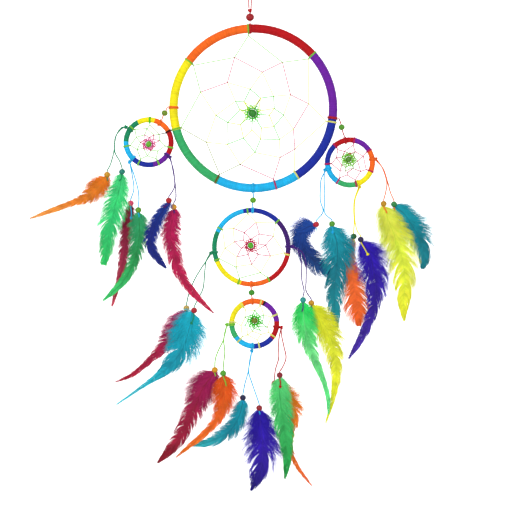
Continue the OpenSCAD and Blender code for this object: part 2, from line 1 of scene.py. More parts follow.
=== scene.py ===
import math
import bpy
import numpy as np
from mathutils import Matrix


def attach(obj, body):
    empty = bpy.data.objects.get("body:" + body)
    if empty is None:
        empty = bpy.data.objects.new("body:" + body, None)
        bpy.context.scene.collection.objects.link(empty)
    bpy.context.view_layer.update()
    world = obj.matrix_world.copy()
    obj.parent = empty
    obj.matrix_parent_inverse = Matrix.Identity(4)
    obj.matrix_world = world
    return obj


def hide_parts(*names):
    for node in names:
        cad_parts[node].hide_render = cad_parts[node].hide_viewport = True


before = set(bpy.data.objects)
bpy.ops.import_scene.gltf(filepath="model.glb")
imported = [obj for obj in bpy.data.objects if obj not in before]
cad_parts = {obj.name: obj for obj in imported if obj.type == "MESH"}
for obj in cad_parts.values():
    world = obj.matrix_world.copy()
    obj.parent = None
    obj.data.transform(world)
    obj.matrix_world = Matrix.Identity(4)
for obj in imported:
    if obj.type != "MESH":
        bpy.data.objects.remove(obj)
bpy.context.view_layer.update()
MM = 0.001

# ---- places, in millimetres: the hoops, links, tassels and strand routes of the CAD model ----

CORD_D = 1.2  # the waxed cord
THREAD_D = 0.75  # the web's thread, which the CAD model makes 0.8
SMALL_BEAD = 6.0
BIG_BEAD = 8.0
BEAD_GAP = 0.6  # from the end of a strand to the bead below it
STRAND_PART = 0.75  # from the middle of a tie to where each of its two strands starts
HINGE_OUT = 2.0  # from the surface of a hoop to the hinge point that a tie carries
TURN_R = 0.55  # the radius of the cord in a tie and in a tail
STEP = 0.3  # between the points of a cord


def polar(r, a):
    """The point at distance r and angle a, in degrees from +X towards +Z, in the hoops' plane."""
    return np.array([r * math.cos(math.radians(a)), 0, r * math.sin(math.radians(a))])


def rho(h):
    """The radius of a hoop's centre line: half of its outside diameter less its tube."""
    return (h[1] - h[2]) / 2


def reach(h):
    """The distance from a hoop's tube centre to the hinge point outside a cord tie."""
    return h[2] / 2 + HINGE_OUT


def hinge_at(h, a, y=0.0):
    """The hinge point at angle a and depth y, on the circle of radius reach round the tube."""
    return h[0] + polar(rho(h) + math.sqrt(reach(h) ** 2 - y * y), a) + [0, y, 0]


def hung(p, a, od, tube):
    """The hoop, as centre, outside diameter and tube, whose hinge point at angle a is p."""
    return p - polar(od / 2 + HINGE_OUT, a), od, tube


main = hung(np.array([0, 0, -62.55]), 92.2, 160, 8.4)
middle = hung(hinge_at(main, 270) + [-0.5, 0, -10.5], 88, 75, 4.8)
left = hung(hinge_at(main, 179.5) + [-4.5, 0, -10.5], 60, 48, 5.2)
right = hung(hinge_at(main, 353) + [5, 0, -16], 102, 48, 5.2)
lower = hung(hinge_at(middle, 270) + [0.5, 0, -7.2], 95, 48, 5.2)
HOOPS = {"main": main, "middle": middle, "left": left, "right": right, "lower": lower}

# Tassels: hoop, tie angle, depths of strands a and b, cord colour, and each strand's route
TASSELS = {
    "left_outer": ("left", 146, 2, -2, "sea",
        [[-4.5, -2], [-10, -9.5], [-11.5, -23], [-14.5, -34.5], [-18, -41.5]],
        [[-4.5, -1], [-9.5, -9.5], [-10.5, -23], [-6, -32], [-3.5, -39]]),
    "left_lower": ("left", 226, 2, -2, "cyan",
        [[2.5, -13], [4, -25.5], [1, -35.5]],
        [[4.5, -13], [8, -25.5], [9, -34.5], [8.5, -42]]),
    "left_inner": ("left", 325, -5, -1, "violet",
        [[3, -10.5], [4.5, -22], [4, -29.5], [-1, -37.5]],
        [[2.5, -10.5], [4.5, -22], [5.5, -31.5], [5.5, -39], [3.5, -43.5]]),
    "middle_left": ("middle", 188, 4.5, 0.5, "sea",
        [[-4.5, -7.5], [-10.5, -16.5], [-16, -26], [-21, -38.5], [-23.5, -49]],
        [[-4.5, -7.5], [-6, -18.5], [-7.5, -33.5], [-12.5, -44], [-16, -51]]),
    "middle_right": ("middle", 1, -4, 0, "violet",
        [[5, -4], [8, -11.5], [8.5, -23], [9, -32.5], [11, -42], [10, -47]],
        [[6.5, -3], [11, -8.5], [13, -18], [13, -32.5], [13, -42], [18, -50]]),
    "right_inner": ("right", 196, 5.5, 1.5, "cyan",
        [[-3.5, -8.5], [-4.5, -18], [-4.5, -29.5], [-2, -40], [-8.5, -48.5]],
        [[-1, -10.5], [-0.5, -20], [-0.5, -30.5], [-0.5, -41], [6.5, -48]]),
    "right_lower": ("right", 292, 5, 1, "yellow",
        [[-4.5, -11], [-5.5, -20.5], [-5, -32], [-5.5, -43.5]],
        [[-4, -11], [-5, -20.5], [-4.5, -32], [-2.5, -41.5], [1, -46.5]]),
    "right_outer": ("right", 8, 2, 4, "orange",
        [[6.5, -9], [10.5, -22], [9.5, -31.5], [7.5, -39]],
        [[7, -9], [11.5, -22], [14, -31.5], [17.5, -39.5]]),
    "lower_left": ("lower", 182, 2, -2, "lime",
        [[-2, -7.5], [-3.5, -15], [-8.5, -25.5], [-11, -33], [-11.5, -39.5]],
        [[-1.5, -7.5], [-3, -15], [-2, -26], [-3, -36], [-3.5, -42.5]]),
    "lower_bottom": ("lower", 265, 2.5, -1.5, "cyan",
        [[-2, -9], [-3.5, -20], [-6.5, -31], [-8.5, -41]],
        [[-1.5, -9], [-3, -20], [1, -33], [5, -44.5], [7, -50.5]]),
    "lower_right": ("lower", 352, 1, -3, "red",
        [[-2, -9.5], [-2.5, -19], [-2.5, -29.5], [-5.5, -40], [-6.5, -49.5]],
        [[0.5, -8.5], [2.5, -18], [4.5, -28.5], [1.5, -37], [-1.5, -41.5]]),
}
# The hanging loop's right half, from its top down to the knot
LOOP = [[0, -0.6], [2.5, -0.4], [3.5, -3.4], [3, -8.4], [1.8, -15.4], [1.5, -25.4], [1.4, -37.4]]

# Feathers: spine as x, z and width from the bead's centre, dyes of base, middle and tip, the dye
# along the middle, the length of the down at the base, and how ragged the edge is
FEATHERS = {
    "left_orange": ([[0, -3, 9], [-9, -12.5, 22], [-19, -21.5, 13], [-30, -26, 7], [-45, -31.5, 5.5],
        [-59, -36.5, 4], [-74, -42, 1.2]],
        "f57a14", "ff8c2c", "ffa24c", "d85a08", 15, 0.8),
    "left_green": ([[-0.5, -3.5, 8], [-2, -15, 17], [-7, -34, 25], [-12, -54, 20],
        [-15, -73.5, 13], [-17.5, -89, 5]],
        "46d584", "34cc74", "2bbf60", "1c9a58", 12, 1.0),
    "left_crimson": ([[0, -3, 6], [-3, -20, 14], [-5.5, -40, 12], [-8.5, -62, 8],
        [-13.5, -82, 5], [-18, -98.5, 1.5]],
        "780a28", "a02048", "d84a62", "55061a", 9, 0.9),
    "left_emerald": ([[0, -3, 8], [1, -17.5, 20], [-0.5, -33.5, 16], [-5, -50, 12],
        [-12.5, -65, 8.5], [-23, -76.5, 5.5], [-34, -86.5, 1.5]],
        "2fa068", "26954e", "3fd070", "157038", 11, 0.8),
    "left_blue": ([[0, -3, 6], [-3, -6.5, 9], [-9.5, -16, 11], [-14, -26.5, 13],
        [-17.5, -39, 12], [-14, -49.5, 9], [-8, -58, 6], [-2, -64.5, 1.5]],
        "163a9a", "0e2080", "0c1a74", "060e50", 8, 0.9),
    "left_magenta": ([[1, -3, 10], [-2.5, -17.5, 17], [-2.5, -31.5, 18], [0.5, -46, 15],
        [5, -60, 12], [12, -73.5, 8.5], [23.5, -87, 5.5], [38.5, -101.5, 1.2]],
        "b8185c", "bc1450", "c8244c", "640828", 13, 0.9),
    "middle_magenta": ([[0, -3, 9], [-7.5, -16, 26], [-16.5, -31, 21], [-28, -43, 10],
        [-41, -55, 5.5], [-53.5, -64.5, 3.8], [-68, -70.5, 1.2]],
        "b02a6e", "b3184a", "b01030", "80082c", 16, 1.0),
    "middle_teal": ([[-2, -3, 13], [-5, -19, 35], [-11, -36, 33], [-21, -50, 20],
        [-31.5, -60, 8], [-51.5, -74, 3.2], [-74.5, -90, 1.2]],
        "12b0c4", "0c9fb4", "2fdcea", "0c6480", 18, 0.7),
    "middle_mint": ([[0, -3.5, 9], [1, -20, 24], [4, -36, 19], [10, -54, 10],
        [18.5, -74, 5.5], [23.5, -92, 4], [24, -109, 1.5]],
        "30dc68", "80f090", "5ff08a", "1c9858", 15, 0.7),
    "middle_yellow": ([[1, -3.5, 11], [10, -17, 24], [18, -34, 24], [22.5, -53, 17],
        [23.5, -72, 9], [20.5, -91, 4.5], [13.5, -115, 1.2]],
        "dce628", "f4f638", "f4f024", "b4c81c", 16, 0.8),
    "right_blue": ([[-2.5, -1.5, 8], [-8, -2.5, 15], [-13.5, -6.5, 18], [-15, -14.5, 18],
        [-11.5, -24, 18], [-3, -34.5, 19], [7, -42, 18], [17, -48, 6]],
        "1c4ea8", "153884", "124c80", "081c58", 20, 0.4),
    "right_teal": ([[0, -3.5, 14], [4.5, -17.5, 31], [5, -35, 30], [3, -54, 20],
        [2, -73, 15], [4, -100, 4]],
        "129aac", "0a7f90", "0f8a90", "075462", 16, 1.0),
    "right_orange": ([[-1, -3, 5], [-4, -21, 12], [-1, -42, 23], [3, -61, 28],
        [4.5, -75, 25], [5, -83, 13], [5, -86, 3]],
        "f86a28", "ff7030", "ff601a", "e04c1a", 10, 0.6),
    "right_violet": ([[1.5, -3, 14], [9, -15, 28], [12.5, -31.5, 31], [14.5, -48.5, 20],
        [12, -65.5, 12], [5, -84.5, 9], [-3.5, -100.5, 6], [-12, -114, 1.5]],
        "2c0cb0", "30149a", "4a2ca6", "180468", 15, 0.8),
    "right_yellow": ([[0, -4, 12], [6.5, -20.5, 27], [13.5, -39.5, 33], [18.5, -58.5, 30],
        [20, -77.5, 20], [19, -96.5, 10], [19.5, -112.5, 1.5]],
        "d8ee50", "e4f444", "fdf52e", "b4d830", 17, 0.75),
    "right_aqua": ([[0.5, -2, 8], [10, -9.5, 19], [18.5, -22.5, 26], [26, -36, 24],
        [29, -52, 12], [27, -62, 3]],
        "0ca0b0", "088494", "077a86", "055664", 18, 1.0),
    "lower_crimson": ([[0, -2.5, 11], [-11.5, -17.5, 33], [-18, -33, 22], [-25.5, -49, 17],
        [-32, -61.5, 15], [-42, -75.5, 10], [-55, -89, 1.5]],
        "a0145a", "a81844", "8c0c22", "68061a", 20, 0.8),
    "lower_orange": ([[0.5, -4, 12], [1.5, -18, 26], [-1.5, -33.5, 17], [-8, -46.5, 9],
        [-19, -58.5, 6.5], [-32.5, -69.5, 4.5], [-45.5, -80.5, 1.2]],
        "ec5a10", "f86c20", "ff7a1c", "c43c08", 15, 0.9),
    "lower_teal": ([[0, -3, 9], [-3.5, -17, 16], [-10.5, -29.5, 16], [-21.5, -37.5, 13],
        [-35, -43, 8], [-48.5, -46, 1.5]],
        "12a0b4", "0c8a9e", "38c4cc", "085c70", 14, 1.0),
    "lower_violet": ([[0, -3, 14], [2, -21.5, 36], [3.5, -38.5, 42], [2, -54.5, 30],
        [-3, -68, 12], [-8, -79, 2]],
        "2208a0", "3818b4", "180470", "14066a", 18, 1.4),
    "lower_amber": ([[1.5, -3, 8], [12, -13, 21], [17.5, -29.5, 19], [15.5, -45.5, 8],
        [15.5, -64, 5], [22.5, -80.5, 4], [36, -98, 1.2]],
        "ff821a", "ff801c", "ff6220", "e06408", 15, 1.0),
    "lower_green": ([[0.5, -4, 9], [0, -19.5, 20], [2.5, -38.5, 21], [6, -62, 14],
        [7, -81, 8], [5, -99, 1.5]],
        "60d880", "3cbc62", "189a42", "208844", 17, 0.6),
}
# Each tassel's two feathers, and their beads' paints
PAIRS = {
    "left_outer": (("left_orange", "e0a020"), ("left_green", "1f8a7a")),
    "left_lower": (("left_crimson", "f04a70"), ("left_emerald", "6aa820")),
    "left_inner": (("left_blue", "c01828"), ("left_magenta", "f0a818")),
    "middle_left": (("middle_magenta", "f0b818"), ("middle_teal", "c01828")),
    "middle_right": (("middle_mint", "28a8a0"), ("middle_yellow", "e0a020")),
    "right_inner": (("right_blue", "d02038"), ("right_teal", "5aa828")),
    "right_lower": (("right_orange", "206828"), ("right_violet", "2a1c50")),
    "right_outer": (("right_yellow", "d09818"), ("right_aqua", "2a9048")),
    "lower_left": (("lower_crimson", "f0a818"), ("lower_orange", "5ab428")),
    "lower_bottom": (("lower_teal", "1c2050"), ("lower_violet", "a81828")),
    "lower_right": (("lower_amber", "b82030"), ("lower_green", "981828")),
}
# Cord tails that show below a bead: how far down and sideways, and whether they end in a knot
TAILS = {
    "left_green": (-2.5, 6, 0), "left_crimson": (0.5, 11, 1), "left_emerald": (0.5, 4, 0),
    "left_blue": (-4, 3, 1), "middle_teal": (-2.5, 9, 1), "middle_mint": (-1, 8, 0),
    "right_teal": (0.5, 5, 1), "right_violet": (6.5, 11, 1), "right_yellow": (3, 6, 0),
    "lower_orange": (3, 9, 0), "lower_green": (0.5, 8, 1),
}

# Winding: the angle at which each colour starts, counted round the hoop
WINDINGS = {
    "main": (42.6, "red", 91.6, "orange", 144, "yellow", 195.7, "green", 244.2, "cyan", 302.5,
             "blue", 352.2, "purple"),
    "middle": (43.5, "blue", 101.8, "cyan", 154.5, "sea", 202.8, "yellow", 253, "orange", 298.7,
               "red", 349.9, "plum"),
    "left": (27.8, "orange", 74.5, "yellow", 118.4, "sea", 176.6, "cyan", 223.4, "blue", 281.4,
             "purple", 330.7, "red"),
    "right": (30, "purple", 79.6, "red", 132.3, "blue", 186.3, "cyan", 240.8, "green", 288.4,
              "yellow", 333.6, "orange"),
    "lower": (6, "purple", 62, "black", 65.5, "orange", 119.9, "yellow", 175, "sea", 177.5,
              "yellow", 180, "green", 216.9, "cyan", 268.8, "blue", 319, "red"),
}
# Cord ties round each hoop: angle and colour, besides the tassels' own
TIES = {
    "main": ((92.2, "red"), (270, "cyan"), (179.5, "orange"), (353, "red")),
    "middle": ((88, "cyan"), (270, "orange")),
    "left": ((60, "orange"),), "right": ((102, "red"),), "lower": ((95, "orange"),),
}
# Web thread: the turns round the hoop, as angle and colour
WEB_TURNS = {
    "main": ((93.7, "lime"), (144, "lime"), (195, "lime"), (242.8, "umber"), (286, "rose"),
             (302.8, "cream"), (350, "cream"), (42, "lime")),
    "middle": ((96, "lime"), (44.8, "lime"), (348.4, "cream"), (298.4, "lime"), (249.8, "lime"),
               (199.9, "lime"), (149.1, "lime")),
    "left": ((86.7, "leaf"), (139.3, "lime"), (190, "lime"), (244.8, "lime"), (295.7, "lime"),
             (346.7, "lime"), (28.8, "black")),
    "right": ((132, "rose"), (79, "rose"), (32, "rose"), (337, "rose"), (285.4, "rose"),
              (237, "rose"), (184, "rose")),
    "lower": ((73, "cream"), (22.4, "cream"), (327.2, "cream"), (282.5, "cream"),
              (227.9, "cream"), (175, "cream"), (123.6, "cream")),
}
# Web thread: its runs from knot to knot, as x, z from the hoop's centre
WEBS = {
    "main": [
        ("lime", [[-4.7, 69], [-17.8, 48.3], [-56.9, 40.8], [-50.1, 15.4], [-68.8, -18.6]]),
        ("lime", [[-4.7, 69], [27.6, 43.7], [52.2, 46.8]]),
        ("olive", [[-68.8, -18.6], [-44.6, -32.3], [-32, -62.8], [-12.5, -53.3]]),
        ("rose", [[-12.5, -53.3], [19, -67.2], [25.5, -46.7], [39.5, -38.7], [38.1, -20],
            [52.6, 4.3], [35.4, 12.9], [27.6, 43.7], [8.6, 34.4], [-17.8, 48.3], [-24.6, 24.5],
            [-50.1, 15.4]]),
        ("cream", [[52.2, 46.8], [52.6, 4.3], [69.2, -12.3], [39.5, -38.7], [38.9, -59.2]]),
        ("cream", [[-50.1, 15.4], [-35.6, -6.7], [-44.6, -32.3], [-24.6, -34.3], [-12.5, -53.3],
            [1.5, -42], [25.5, -46.7], [24.9, -29.5], [38.1, -20], [28.8, -6.4], [35.4, 12.9],
            [19.3, 11.4], [8.6, 34.4], [-2.9, 18.2], [-24.6, 24.5], [-16.9, 6.7], [-35.6, -6.7]]),
        ("leaf", [[-35.6, -6.7], [-24.2, -13.5], [-24, -34], [-9.4, -28.3], [1.5, -42],
            [6.9, -29.2], [24.9, -29.5], [19.6, -17.4], [28.8, -6.4], [19.9, -0.2], [19.3, 11.4],
            [6.9, 9.7], [-2.9, 18.2], [-8.9, 6.1], [-16.9, 6.7], [-12.7, -1.3], [-24.2, -13.5]]),
        ("yolk", [[-24.2, -13.5], [-12.1, -15.6], [-9.4, -28.3], [-1.4, -20.6], [6.9, -29.2],
            [7.7, -18.8], [19.6, -17.4], [15.2, -6.6], [19.9, -0.2], [5.1, -2.6], [6.9, 9.7],
            [0.1, 0.2], [-8.9, 6.1], [-3.8, -2.2], [-12.7, -1.3], [-5, -6.4], [-12.1, -15.6]]),
    ],
    "left": [
        ("lime", [[1.3, 16.1], [-1.6, 13], [-12.9, 12.2], [-11.7, 4.8], [-17.3, -3.1],
            [-10.8, -6.7], [-7.5, -15.8], [-1.1, -12.9], [7.1, -15.5], [8.9, -8.2], [15.8, -3.5],
            [10.7, 1.6], [10, 7.5]]),
        ("lime", [[-1.6, 13], [-3.7, 7], [-11.7, 4.8], [-7.7, -0.1], [-10.8, -6.7], [-4.7, -5.9],
            [-1.1, -12.9], [2.3, -7.5], [8.9, -8.2]]),
        ("lime", [[10, 7.5], [5, 6.9], [-1.6, 13]]),
        ("olive", [[10, 7.5], [1.3, 16.1]]),
        ("rose", [[5, 6.9], [0.7, 4.5], [-3.7, 7], [-3.4, 2.9], [-7.7, -0.1], [-4.5, -1.8],
            [-4.7, -5.9], [-1.6, -4.6], [2.3, -7.5], [4.2, -4.2], [7.1, -3.5], [5, -1],
            [10.7, 1.6], [4.4, 2.9], [5, 6.9]]),
    ],
    "right": [
        ("rose", [[12.7, 5.9], [15.4, -6.9], [10.1, -8.5], [5.1, -16.7], [-2.8, -11.9],
            [-9.7, -14.6], [-9.4, -8], [-17.6, -1.1], [-12.8, 4.4], [-11.5, 12.1], [-5.2, 10.4],
            [3, 16.5], [5, 10.2], [12.7, 5.9]]),
        ("rose", [[-12.8, 4.4], [-7.3, 5], [-5.2, 10.4], [0.1, 8.2], [5, 10.2]]),
        ("rose", [[-12.8, 4.4], [-7.7, -2.4], [-9.4, -8], [-4.1, -8.2]]),
        ("rose", [[-2.8, -11.9], [-2, -9.3], [3, -5.8], [10.1, -8.5], [7.3, 1.4], [12.7, 5.9]]),
        ("olive", [[5, 10.2], [3.2, 6.3], [7.3, 1.4], [3, -2.4], [3, -5.8], [-0.2, -6.1],
            [-4.1, -8.2], [-3.9, -4.8], [-7.7, -2.4]]),
        ("lime", [[-2.3, 7.9], [-7.3, 5], [-5.7, 1.3], [-7.7, -2.4], [-3.9, -1.9], [-3.9, -4.8],
            [0.9, -1.9], [3, -4.5], [3.2, 0.7], [5.6, 1.5], [2.2, 3.9], [3.2, 6.3], [-2.3, 7.9]]),
    ],
    "middle": [
        ("cream", [[-3.1, 31.2], [4.5, 23.5], [23.2, 23.1], [20.8, 10.5], [31.3, -5.4],
            [18.1, -8.3], [8.6, -24.2]]),
        ("cream", [[8.6, -24.2], [0.4, -16.3], [-14.1, -18.3], [-13.8, -9.2], [-25, -1],
            [-16.2, 5.1], [-17.2, 18], [-3.1, 31.2]]),
        ("cream", [[-17.2, 18], [-27.4, 17], [-25, -1], [-30.4, -10.9]]),
        ("lime", [[-30.4, -10.9], [-14.5, -19], [-11.4, -29.5], [8.6, -24.2], [15.4, -28.8]]),
        ("rose", [[-17.2, 18], [-6.7, 13.9], [4.5, 23.5], [7.4, 12.6], [20.8, 10.5], [13.7, 2],
            [18.1, -8.3], [6.6, -7], [0.4, -16.3], [-3.1, -6.8], [-13.8, -9.2], [-9.4, -1],
            [-16.2, 5.1], [-7.7, 6.8], [-6.7, 13.9]]),
        ("rose", [[-6.7, 13.9], [-0.6, 7.7], [7.4, 12.6], [6.8, 3.1], [13.7, 2], [4.5, -3.1],
            [6.6, -7], [-0.9, -2.7], [-3.1, -6.8], [-5, -0.3], [-9.4, -1], [-4.3, 3.6],
            [-7.7, 6.8]]),
    ],
    "lower": [
        ("cream", [[5.7, 17], [9.2, 8.3], [16, 6.2], [12.7, -3], [13.9, -8.3], [6.3, -10.1],
            [2.8, -15.4], [-6.4, -10.7], [-11.4, -12.5], [-12.5, -1.7], [-17.8, 1.2]]),
        ("cream", [[-12.5, -1.7], [-8.8, 5.4], [-8.5, 13.1], [-9.8, 16]]),
        ("cream", [[-8.5, 13.1], [0.5, 12.6], [5.7, 17]]),
        ("cream", [[-6.4, -10.7], [-6.9, -4.3]]),
        ("cream", [[6.3, -10.1], [-1.7, -7.2], [-6.4, -10.7]]),
        ("leaf", [[0.5, 12.6], [-1.9, 8.1], [-8.8, 6.2], [-5.6, 3.6], [-9, -2.2], [-4.8, -2.2],
            [-1.7, -7.2], [-0.1, -4.6], [5.7, -6.4], [3.4, -2.7], [11.8, -3.3], [7.6, 0.4],
            [9.2, 8.3], [5.2, 6.8], [0.5, 12.6]]),
        ("leaf", [[-1.9, 8.1], [1.5, 5.4], [5.2, 6.8], [3.6, 3.6], [7.6, 0.4], [3.1, 0.4],
            [3.4, -2.7], [0.2, -0.1], [-0.1, -4.6], [-1.9, 0.4], [-4.8, -2.2], [-2.2, 3.1],
            [-5.6, 3.6], [-1.4, 4.9], [-1.9, 8.1]]),
    ],
}
NET_BEADS = {
    "main": ((-0.7, -4.8), BIG_BEAD, "2f8f2a"), "middle": ((-0.6, 1.6), SMALL_BEAD, "55c01c"),
    "left": ((0.1, -1.8), SMALL_BEAD, "6cc428"), "right": ((-1.3, 2.9), SMALL_BEAD, "5a9a28"),
    "lower": ((0.3, 2.8), SMALL_BEAD, "7a8c1c"),
}
# The thread wound on the beads in the nets, and how far its points reach out
NET_WINDINGS = {"main": ("leaf", 3.5), "middle": ("crimson", 2.6), "left": ("pink", 2.4),
                "right": ("lime", 3.4), "lower": ("leaf", 3.4)}

DYES = {
    "red": "c01018", "orange": "ff7020", "yellow": "fff01c", "green": "3cb46c", "sea": "1a9062",
    "cyan": "22bdf5", "blue": "1c30a4", "purple": "7422a8", "plum": "421c70", "violet": "4a2080",
    "lime": "84d440", "black": "181014", "cream": "f4f480", "rose": "cc2460", "leaf": "48d428",
    "olive": "8a9a3a", "umber": "7a5a28", "pink": "ec60a4", "crimson": "d01c50", "yolk": "f0f020",
}

# ---- numbers to meshes ----


def linear(code):
    """A dye's code as linear red, green and blue, by the standard curve of screens."""
    c = np.array([int(code[i:i + 2], 16) for i in (0, 2, 4)]) / 255
    return np.where(c <= 0.04045, c / 12.92, ((c + 0.055) / 1.055) ** 2.4)


def dye(name):
    """A thread or cord dye by its name, or by its code."""
    return linear(DYES.get(name, name))


def smooth(points, steps):
    """Catmull-Rom curve: between neighbours b and c with outer neighbours a and d, the cubic
    (2b + (c - a)t + (2a - 5b + 4c - d)t^2 + (3b - a - 3c + d)t^3) / 2."""
    p = np.asarray(points, float)
    g = np.vstack([2 * p[0] - p[1], p, 2 * p[-1] - p[-2]])
    a, b, c, d = (g[i:len(g) - 3 + i, None] for i in range(4))
    t = (np.arange(steps) / steps)[None, :, None]
    q = 2 * b + (c - a) * t + (2 * a - 5 * b + 4 * c - d) * t ** 2
    q = (q + (3 * b - a - 3 * c + d) * t ** 3) / 2
    return np.vstack([q.reshape(-1, p.shape[1]), p[-1]])


def even(points, step):
    """The same line with points at equal distances of about step."""
    p = np.asarray(points, float)
    s = np.r_[0, np.cumsum(np.linalg.norm(np.diff(p, axis=0), axis=1))]
    n = max(2, int(round(s[-1] / step)) + 1)
    at = np.linspace(0, s[-1], n)
    return np.stack([np.interp(at, s, p[:, k]) for k in range(p.shape[1])], 1)


def unit(v):
    """Vectors along the last axis at length 1."""
    return v / np.maximum(np.linalg.norm(v, axis=-1, keepdims=True), 1e-9)


def grid_faces(rows, cols, wrap_rows=False):
    """Quads between neighbours of a grid of rows by cols vertices. Each row closes on itself,
    and the last row joins the first where wrap_rows is set."""
    i = np.arange(rows if wrap_rows else rows - 1)[:, None]
    j = np.arange(cols)[None]
    i2, j2 = (i + 1) % rows, (j + 1) % cols
    corners = [i * cols + j, i * cols + j2, i2 * cols + j2, i2 * cols + j]
    return np.stack(corners, -1).reshape(-1, 4)


class Piece:
    """Gathers grids into one mesh, with a dye and a map coordinate at each vertex."""

    def __init__(self):
        self.v, self.f, self.c, self.uv, self.n = [], [], [], [], 0

    def add(self, v, f, colour, uv=None):
        v = np.asarray(v, float).reshape(-1, 3)
        self.v.append(v)
        self.f.append(np.asarray(f) + self.n)
        self.c.append(np.broadcast_to(np.asarray(colour, float), (len(v), 3)))
        self.uv.append(np.zeros((len(v), 2)) if uv is None else np.asarray(uv).reshape(-1, 2))
        self.n += len(v)

    def make(self, name, material, body, node, slot):
        v = np.vstack(self.v) * MM
        f = np.vstack(self.f)
        me = bpy.data.meshes.new(name)
        me.vertices.add(len(v))
        me.vertices.foreach_set("co", v.ravel())
        me.loops.add(f.size)
        me.loops.foreach_set("vertex_index", f.ravel().astype(np.int32))
        me.polygons.add(len(f))
        me.polygons.foreach_set("loop_start", np.arange(0, f.size, 4, dtype=np.int32))
        me.polygons.foreach_set("use_smooth", np.ones(len(f), bool))
        me.update(calc_edges=True)
        rgba = np.ones((len(v), 4))
        rgba[:, :3] = np.vstack(self.c)
        me.attributes.new("dye", "FLOAT_COLOR", "POINT").data.foreach_set("color", rgba.ravel())
        uv = np.vstack(self.uv)[f.ravel()]
        me.uv_layers.new(name="lay").data.foreach_set("uv", uv.ravel())
        me.materials.append(material)
        ob = bpy.data.objects.new(name, me)
        bpy.context.scene.collection.objects.link(ob)
        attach(ob, body)
        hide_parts(node)
        return ob


def tube(piece, path, radius, colour, sides=8, plies=0, pitch=2.4, side=(0, 1, 0), closed=False):
    """A round or plied cord: at each point of the path a ring of the given radius square to it.
    With two plies the radius at angle a is radius * (0.82 + 0.18 |cos(a - turn)|), and the turn
    goes half round in each pitch. Open ends run to a point a little inside."""
    p = np.asarray(path, float)
    r = np.broadcast_to(np.asarray(radius, float), (len(p),))
    if closed:
        t = unit(np.roll(p, -1, 0) - np.roll(p, 1, 0))
    else:
        t = unit(np.gradient(p, axis=0))
        cap = t[[0, -1]] * (r[[0, -1]] * 0.5)[:, None]
        p = np.vstack([p[0], p, p[-1]])
        p[0], p[-1] = p[0] - cap[0] * 0.3, p[-1] + cap[1] * 0.3
        t = np.vstack([t[0], t, t[-1]])
        r = np.r_[r[0] * 0.05, r, r[-1] * 0.05]
    u = unit(np.cross(np.broadcast_to(side, t.shape), t))
    w = np.cross(t, u)
    a = np.linspace(0, 2 * math.pi, sides, endpoint=False)[None]
    s = np.r_[0, np.cumsum(np.linalg.norm(np.diff(p, axis=0), axis=1))][:, None]
    ring = r[:, None] * np.ones_like(a)
    if plies:
        ring = ring * (0.82 + 0.18 * np.abs(np.cos(a - math.pi * s / pitch)))
    v = p[:, None] + (ring * np.cos(a))[..., None] * u[:, None] \
        + (ring * np.sin(a))[..., None] * w[:, None]
    uv = np.stack([s + 0 * a, a / (2 * math.pi) + 0 * s], -1)
    piece.add(v, grid_faces(len(p), sides, wrap_rows=closed), colour, uv)


def ring_path(h, a, r, count=24):
    """Points of a circle of radius r round a hoop's tube at angle a."""
    e = polar(1, a)
    f = np.linspace(0, 2 * math.pi, count, endpoint=False)[:, None]
    return h[0] + e * (rho(h) + r * np.cos(f)) + np.array([0, 1, 0]) * r * np.sin(f)


def knot(piece, at, size, colour, turn=0.0, thick=0.42):
    """An overhand knot: the trefoil sin t + 2 sin 2t, cos t - 2 cos 2t, -sin 3t, size across."""
    t = np.linspace(0, 2 * math.pi, 30, endpoint=False)
    x, z, y = np.sin(t) + 2 * np.sin(2 * t), np.cos(t) - 2 * np.cos(2 * t), -np.sin(3 * t)
    c, s = math.cos(turn), math.sin(turn)
    p = np.stack([x * c - z * s, 1.3 * y, x * s + z * c], 1) * size / 6
    t3 = unit(np.roll(p, -1, 0) - np.roll(p, 1, 0))
    side = unit(np.cross(t3, np.roll(t3, 2, 0)) + [1e-3, 2e-3, 1e-3])
    tube(piece, p + at, size * thick / 2, colour, 7, closed=True, side=np.abs(side) + 0.1)


def blob(piece, at, r, colour):
    """A thread knot in a web: an uneven ball of 6 by 8, radius r (1 + 0.15 sin 3a)."""
    v = np.linspace(0.001, math.pi - 0.001, 6)[:, None]
    a = np.linspace(0, 2 * math.pi, 8, endpoint=False)[None]
    k = r * (1 + 0.15 * np.sin(3 * a))
    p = np.stack([k * np.sin(v) * np.cos(a), k * np.sin(v) * np.sin(a), r * np.cos(v) + 0 * a], -1)
    piece.add(p + at, grid_faces(6, 8), colour)


def bead_wood(piece, at, d, colour, tilt=0.0, seed=0):
    """A turned bead: the profile runs down the bore and back over the ball, x = r sin v and
    z = 0.94 r cos v with rounded rims, and is spun round the bore, which leans by tilt."""
    r, bore = d / 2, 0.95
    lo = math.asin((bore + 0.25) / r)
    v = np.linspace(lo, math.pi - lo, 19)
    x, z = r * np.sin(v), 0.94 * r * np.cos(v)
    top = z[0] + 0.02
    rim = np.array([[bore + 0.08, top], [bore, top - 0.22]])
    prof = np.vstack([rim[::-1], np.stack([x, z], 1), rim * [1, -1]])
    bore_wall = np.stack([np.full(5, bore), np.linspace(-top + 0.5, top - 0.5, 5)], 1)
    prof = np.vstack([prof, bore_wall])
    a = np.linspace(0, 2 * math.pi, 36, endpoint=False)[None]
    px, pz = prof[:, 0, None], prof[:, 1, None]
    c, s = math.cos(tilt), math.sin(tilt)
    q = np.stack([px * np.cos(a) * c + pz * s, px * np.sin(a), pz * c - px * np.cos(a) * s], -1)
    f = grid_faces(len(prof), 36, wrap_rows=True)
    uv = np.stack([px + 0 * a + seed, pz + 0 * a], -1)
    piece.add(q + at, f[:, ::-1], colour * 0.8, uv)


# ---- materials ----


